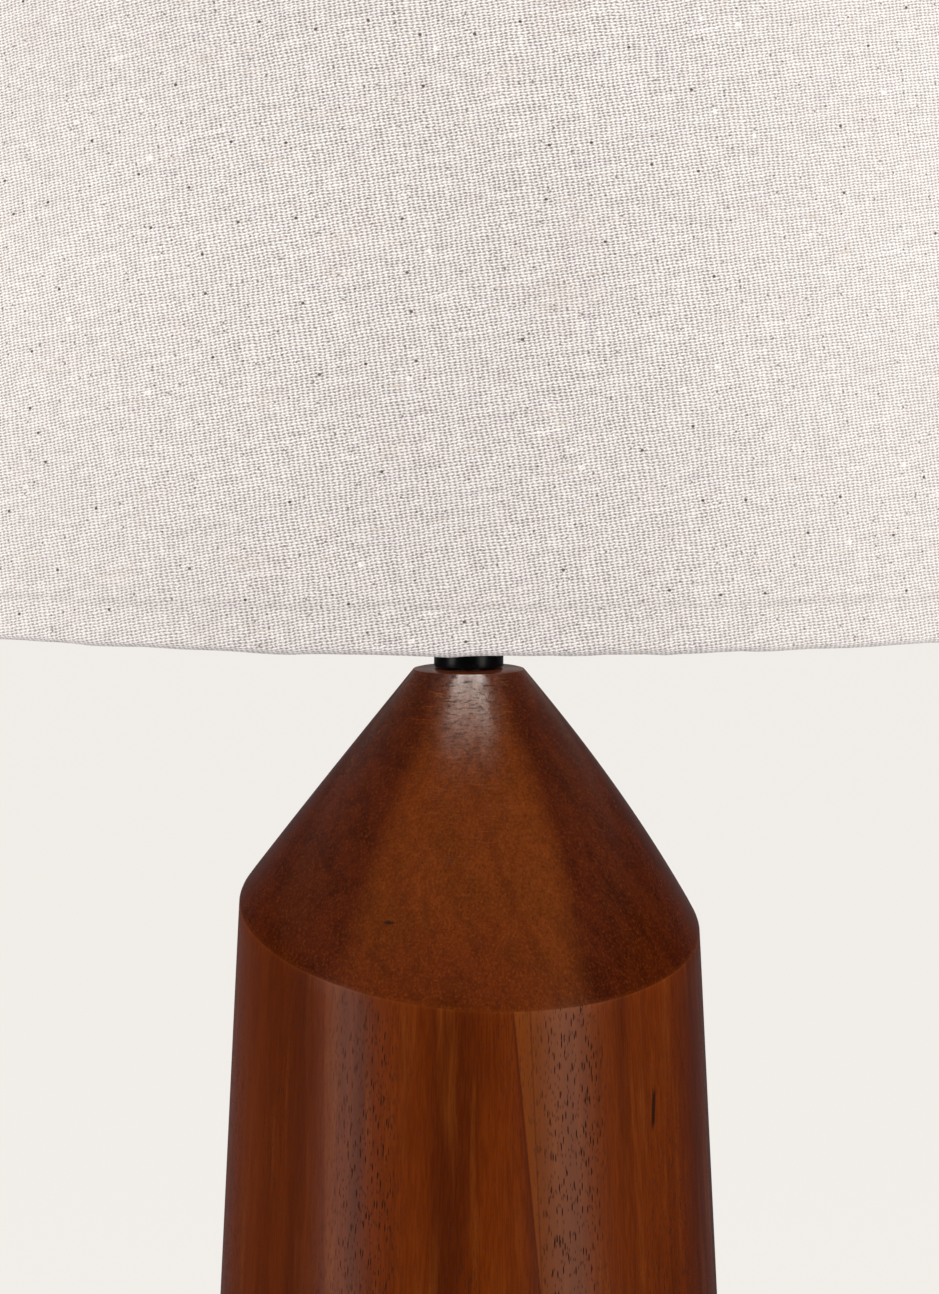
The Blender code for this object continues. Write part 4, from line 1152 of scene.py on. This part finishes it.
class LAMP_OT_shade(bpy.types.Operator):
    """Cut and wrap the shade's cloth, make its liner and its spider with the top ring, and finish the bottom
    ring
    """

    bl_idname = "lamp.shade"
    bl_label = "Shade"

    def execute(self, context):
        bottom, top = low("shade_liner").z, high("shade_liner").z
        inset, thick = 0.0011, 0.0006
        wall = [(wall_radius(top) - inset, top), (wall_radius(bottom) - inset, bottom)]
        wall += [(wall_radius(bottom) - inset - thick, bottom), (wall_radius(top) - inset - thick, top)]
        liner = lathe("stiff_liner", wall, 288, closed=True)
        settle(liner, "shade", "liner", ["shade_liner"], 30.0)
        self.make_spider()
        dress(["shade_bottom_ring"], "wire")
        make_cloth()
        return {"FINISHED"}

    def make_spider(self):
        """Ring, three arms and washer, joined as one welded piece."""
        ring_z = high("spider").z - RING_WIRE_RADIUS
        ring_radius = high("spider").y - RING_WIRE_RADIUS
        washer_low, washer_thickness = low("spider").z, 0.0030
        flat_washer = tube(0.0110, 0.0035, washer_low, washer_low + washer_thickness, 0.0003)
        start_clean()
        bpy.ops.mesh.primitive_torus_add(
            major_segments=192, minor_segments=16, major_radius=ring_radius,
            minor_radius=RING_WIRE_RADIUS, location=(0.0, 0.0, ring_z))
        spider = bpy.context.object
        spider.name = spider.data.name = "spider_wire"
        parts = [lathe("spider_washer", flat_washer, 64, closed=True)]
        for azimuth in (90.0, 210.0, 330.0):
            along = Vector((math.cos(math.radians(azimuth)), math.sin(math.radians(azimuth)), 0.0))
            start = along * 0.0080 + Vector((0.0, 0.0, washer_low + washer_thickness / 2))
            end = along * ring_radius + Vector((0.0, 0.0, ring_z))
            push = (end - start) / 3.0
            parts.append(bent_wire("spider_arm", [(start, push), (end, push)], ARM_WIRE_RADIUS))
        for part in parts:
            weld = spider.modifiers.new("weld", "BOOLEAN")
            weld.operation = "UNION"
            weld.object = part
        apply_all(spider)
        for part in parts:
            bpy.data.objects.remove(part)
        settle(spider, "shade", "wire", ["spider"], 35.0)


class LAMP_OT_inner(bpy.types.Operator):
    """Finish the pieces that are hidden inside the hub"""

    bl_idname = "lamp.inner"
    bl_label = "Inner pieces"

    def execute(self, context):
        bolts = [f"leg_bolt_{index}" for index in range(1, LEGS + 1)]
        dress(["lamp_pipe", "pipe_washer", "pipe_nut"] + bolts, "steel")
        dress([f"leg_insert_{index}" for index in range(1, LEGS + 1)], "brass")
        return {"FINISHED"}


# ---------------------------------------------------------------- stage


CAMERA_RIGHT = 0.0002
CAMERA_DISTANCE = 1.174
CAMERA_ABOVE_HUB = 0.1226
CAMERA_DOWN = math.radians(5.7)
LENS, SENSOR_WIDTH = 125.2, 36.0
CAMERA_NEAR, CAMERA_FAR = 0.05, 200.0
LIGHT_TINT = (1.0, 0.97, 0.94)
DIM_SKY, MIRRORED_SKY = (1.0, 0.98, 0.96, 1.0), (0.92, 0.95, 1.0, 1.0)
# the sky's strength: from one direction to another, from one strength to another
DIM_RAMP, MIRRORED_RAMP = (-0.97, -0.70, 0.0, 0.74), (0.20, 0.90, 0.01, 0.16)
FLOOR_RADIUS = 60.0
FLOOR_GLOW = 1.022
FLOOR_GLOW_SHARE = 0.86
BODY_AIM = (0.0, 0.0, HUB_TOP - 0.08)
SHADE_AIM = (0.0, 0.0, 1.20)
CONE_AIM = (0.0, -0.018, 1.110)
# name, place, aim, width, height, power, seen in reflections
LIGHTS = (
    ("left_strip", (-1.47, -0.85, 1.20), BODY_AIM, 0.60, 1.7, 14.0, True),
    ("right_strip", (1.24, -1.16, 1.20), BODY_AIM, 0.56, 1.7, 14.0, True),
    ("left_box", (-2.9, -1.5, 2.4), SHADE_AIM, 1.6, 1.6, 42.0, False),
    ("right_box", (3.0, -1.6, 2.2), SHADE_AIM, 1.6, 1.6, 46.0, False),
    ("shade_glow", (0.0, -0.090, 1.300), CONE_AIM, 0.150, 0.026, 0.42, True),
)


def soft_light(name, place, aim, width, height, power, mirrored):
    bpy.ops.object.light_add(type="AREA", location=place)
    light = bpy.context.object
    light.name = light.data.name = name
    light.data.shape = "RECTANGLE"
    light.data.size = width
    light.data.size_y = height
    light.data.energy = power
    light.data.color = LIGHT_TINT
    light.rotation_euler = (Vector(aim) - Vector(place)).to_track_quat("-Z", "Y").to_euler()
    light.visible_camera = False
    light.visible_glossy = mirrored


def make_floor():
    """A wide pale floor: mostly its own even tone, with a little shade under the feet."""
    start_clean()
    bpy.ops.mesh.primitive_circle_add(
        vertices=96, radius=FLOOR_RADIUS, fill_type="NGON", location=(0.0, 0.0, -0.0005))
    floor = bpy.context.object
    floor.name = "pale_floor"
    look = Look("pale_floor")
    tint = tuple(colours().floor)
    matte = look.add("ShaderNodeBsdfDiffuse", sockets={"Color": tint})
    even = look.add("ShaderNodeEmission", sockets={"Color": tint, "Strength": FLOOR_GLOW})
    both = look.add("ShaderNodeMixShader", sockets={0: FLOOR_GLOW_SHARE, 1: matte, 2: even})
    output = look.tree.nodes["Material Output"]
    look.tree.links.new(both.socket, output.inputs["Surface"])
    floor.data.materials.append(look.material)
    floor.visible_glossy = False
    floor.visible_diffuse = False


def make_world():
    """Pale behind the lamp, and dim for the light and the reflections it gives."""
    world = bpy.data.worlds.new("studio")
    bpy.context.scene.world = world
    world.use_nodes = True
    world.cycles.sampling_method = "NONE"
    nodes, links = world.node_tree.nodes, world.node_tree.links
    nodes.clear()
    path = nodes.new("ShaderNodeLightPath")
    output = nodes.new("ShaderNodeOutputWorld")
    seen, dim, mirrored = (nodes.new("ShaderNodeBackground") for _ in range(3))
    seen.inputs["Color"].default_value = (*colours().floor, 1.0)
    dim.inputs["Color"].default_value = DIM_SKY
    mirrored.inputs["Color"].default_value = MIRRORED_SKY
    direction = nodes.new("ShaderNodeTexCoord")
    parts = nodes.new("ShaderNodeSeparateXYZ")
    links.new(direction.outputs["Generated"], parts.inputs[0])
    for shader, limits in ((dim, DIM_RAMP), (mirrored, MIRRORED_RAMP)):
        ramp = nodes.new("ShaderNodeMapRange")
        for name, amount in zip(("From Min", "From Max", "To Min", "To Max"), limits):
            ramp.inputs[name].default_value = amount
        links.new(parts.outputs["Y"], ramp.inputs["Value"])
        links.new(ramp.outputs[0], shader.inputs["Strength"])
    first, second = nodes.new("ShaderNodeMixShader"), nodes.new("ShaderNodeMixShader")
    links.new(path.outputs["Is Glossy Ray"], first.inputs[0])
    links.new(dim.outputs[0], first.inputs[1])
    links.new(mirrored.outputs[0], first.inputs[2])
    links.new(path.outputs["Is Camera Ray"], second.inputs[0])
    links.new(first.outputs[0], second.inputs[1])
    links.new(seen.outputs[0], second.inputs[2])
    links.new(second.outputs[0], output.inputs["Surface"])


class LAMP_OT_stage(bpy.types.Operator):
    """Set the camera, the plain floor and the soft studio light"""

    bl_idname = "lamp.stage"
    bl_label = "Stage"

    def execute(self, context):
        scene = context.scene
        scene.view_settings.view_transform = "Standard"
        make_floor()
        make_world()
        height = HUB_TOP + CAMERA_ABOVE_HUB
        bpy.ops.object.camera_add(
            location=(CAMERA_RIGHT, -CAMERA_DISTANCE, height),
            rotation=(math.pi / 2 - CAMERA_DOWN, 0.0, 0.0))
        camera = context.object
        camera.data.lens = LENS
        camera.data.sensor_width = SENSOR_WIDTH
        camera.data.clip_start = CAMERA_NEAR
        camera.data.clip_end = CAMERA_FAR
        scene.camera = camera
        for light in LIGHTS:
            soft_light(*light)
        return {"FINISHED"}


# ---------------------------------------------------------------- panel and running


STEPS = ("stage", "hub", "legs", "fittings", "socket", "bulb", "harp", "shade", "inner")


class LAMP_PT_panel(bpy.types.Panel):
    bl_label = "Tripod Floor Lamp"
    bl_idname = "LAMP_PT_panel"
    bl_space_type = "VIEW_3D"
    bl_region_type = "UI"
    bl_category = "Lamp"

    def draw(self, context):
        for group in (context.scene.lamp_sizes, context.scene.lamp_colours):
            box = self.layout.box()
            for name in group.__annotations__:
                box.prop(group, name)
        for step in STEPS:
            self.layout.operator(f"lamp.{step}")


CLASSES = (
    LampSizes, LampColours, LAMP_OT_stage, LAMP_OT_hub, LAMP_OT_legs, LAMP_OT_fittings, LAMP_OT_socket,
    LAMP_OT_bulb, LAMP_OT_harp, LAMP_OT_shade, LAMP_OT_inner, LAMP_PT_panel)


def register():
    for item in CLASSES:
        bpy.utils.register_class(item)
    bpy.types.Scene.lamp_sizes = PointerProperty(type=LampSizes)
    bpy.types.Scene.lamp_colours = PointerProperty(type=LampColours)


def unregister():
    del bpy.types.Scene.lamp_sizes
    del bpy.types.Scene.lamp_colours
    for item in reversed(CLASSES):
        bpy.utils.unregister_class(item)


def main():
    register()
    for step in STEPS:
        getattr(bpy.ops.lamp, step)()


if __name__ == "__main__":
    main()
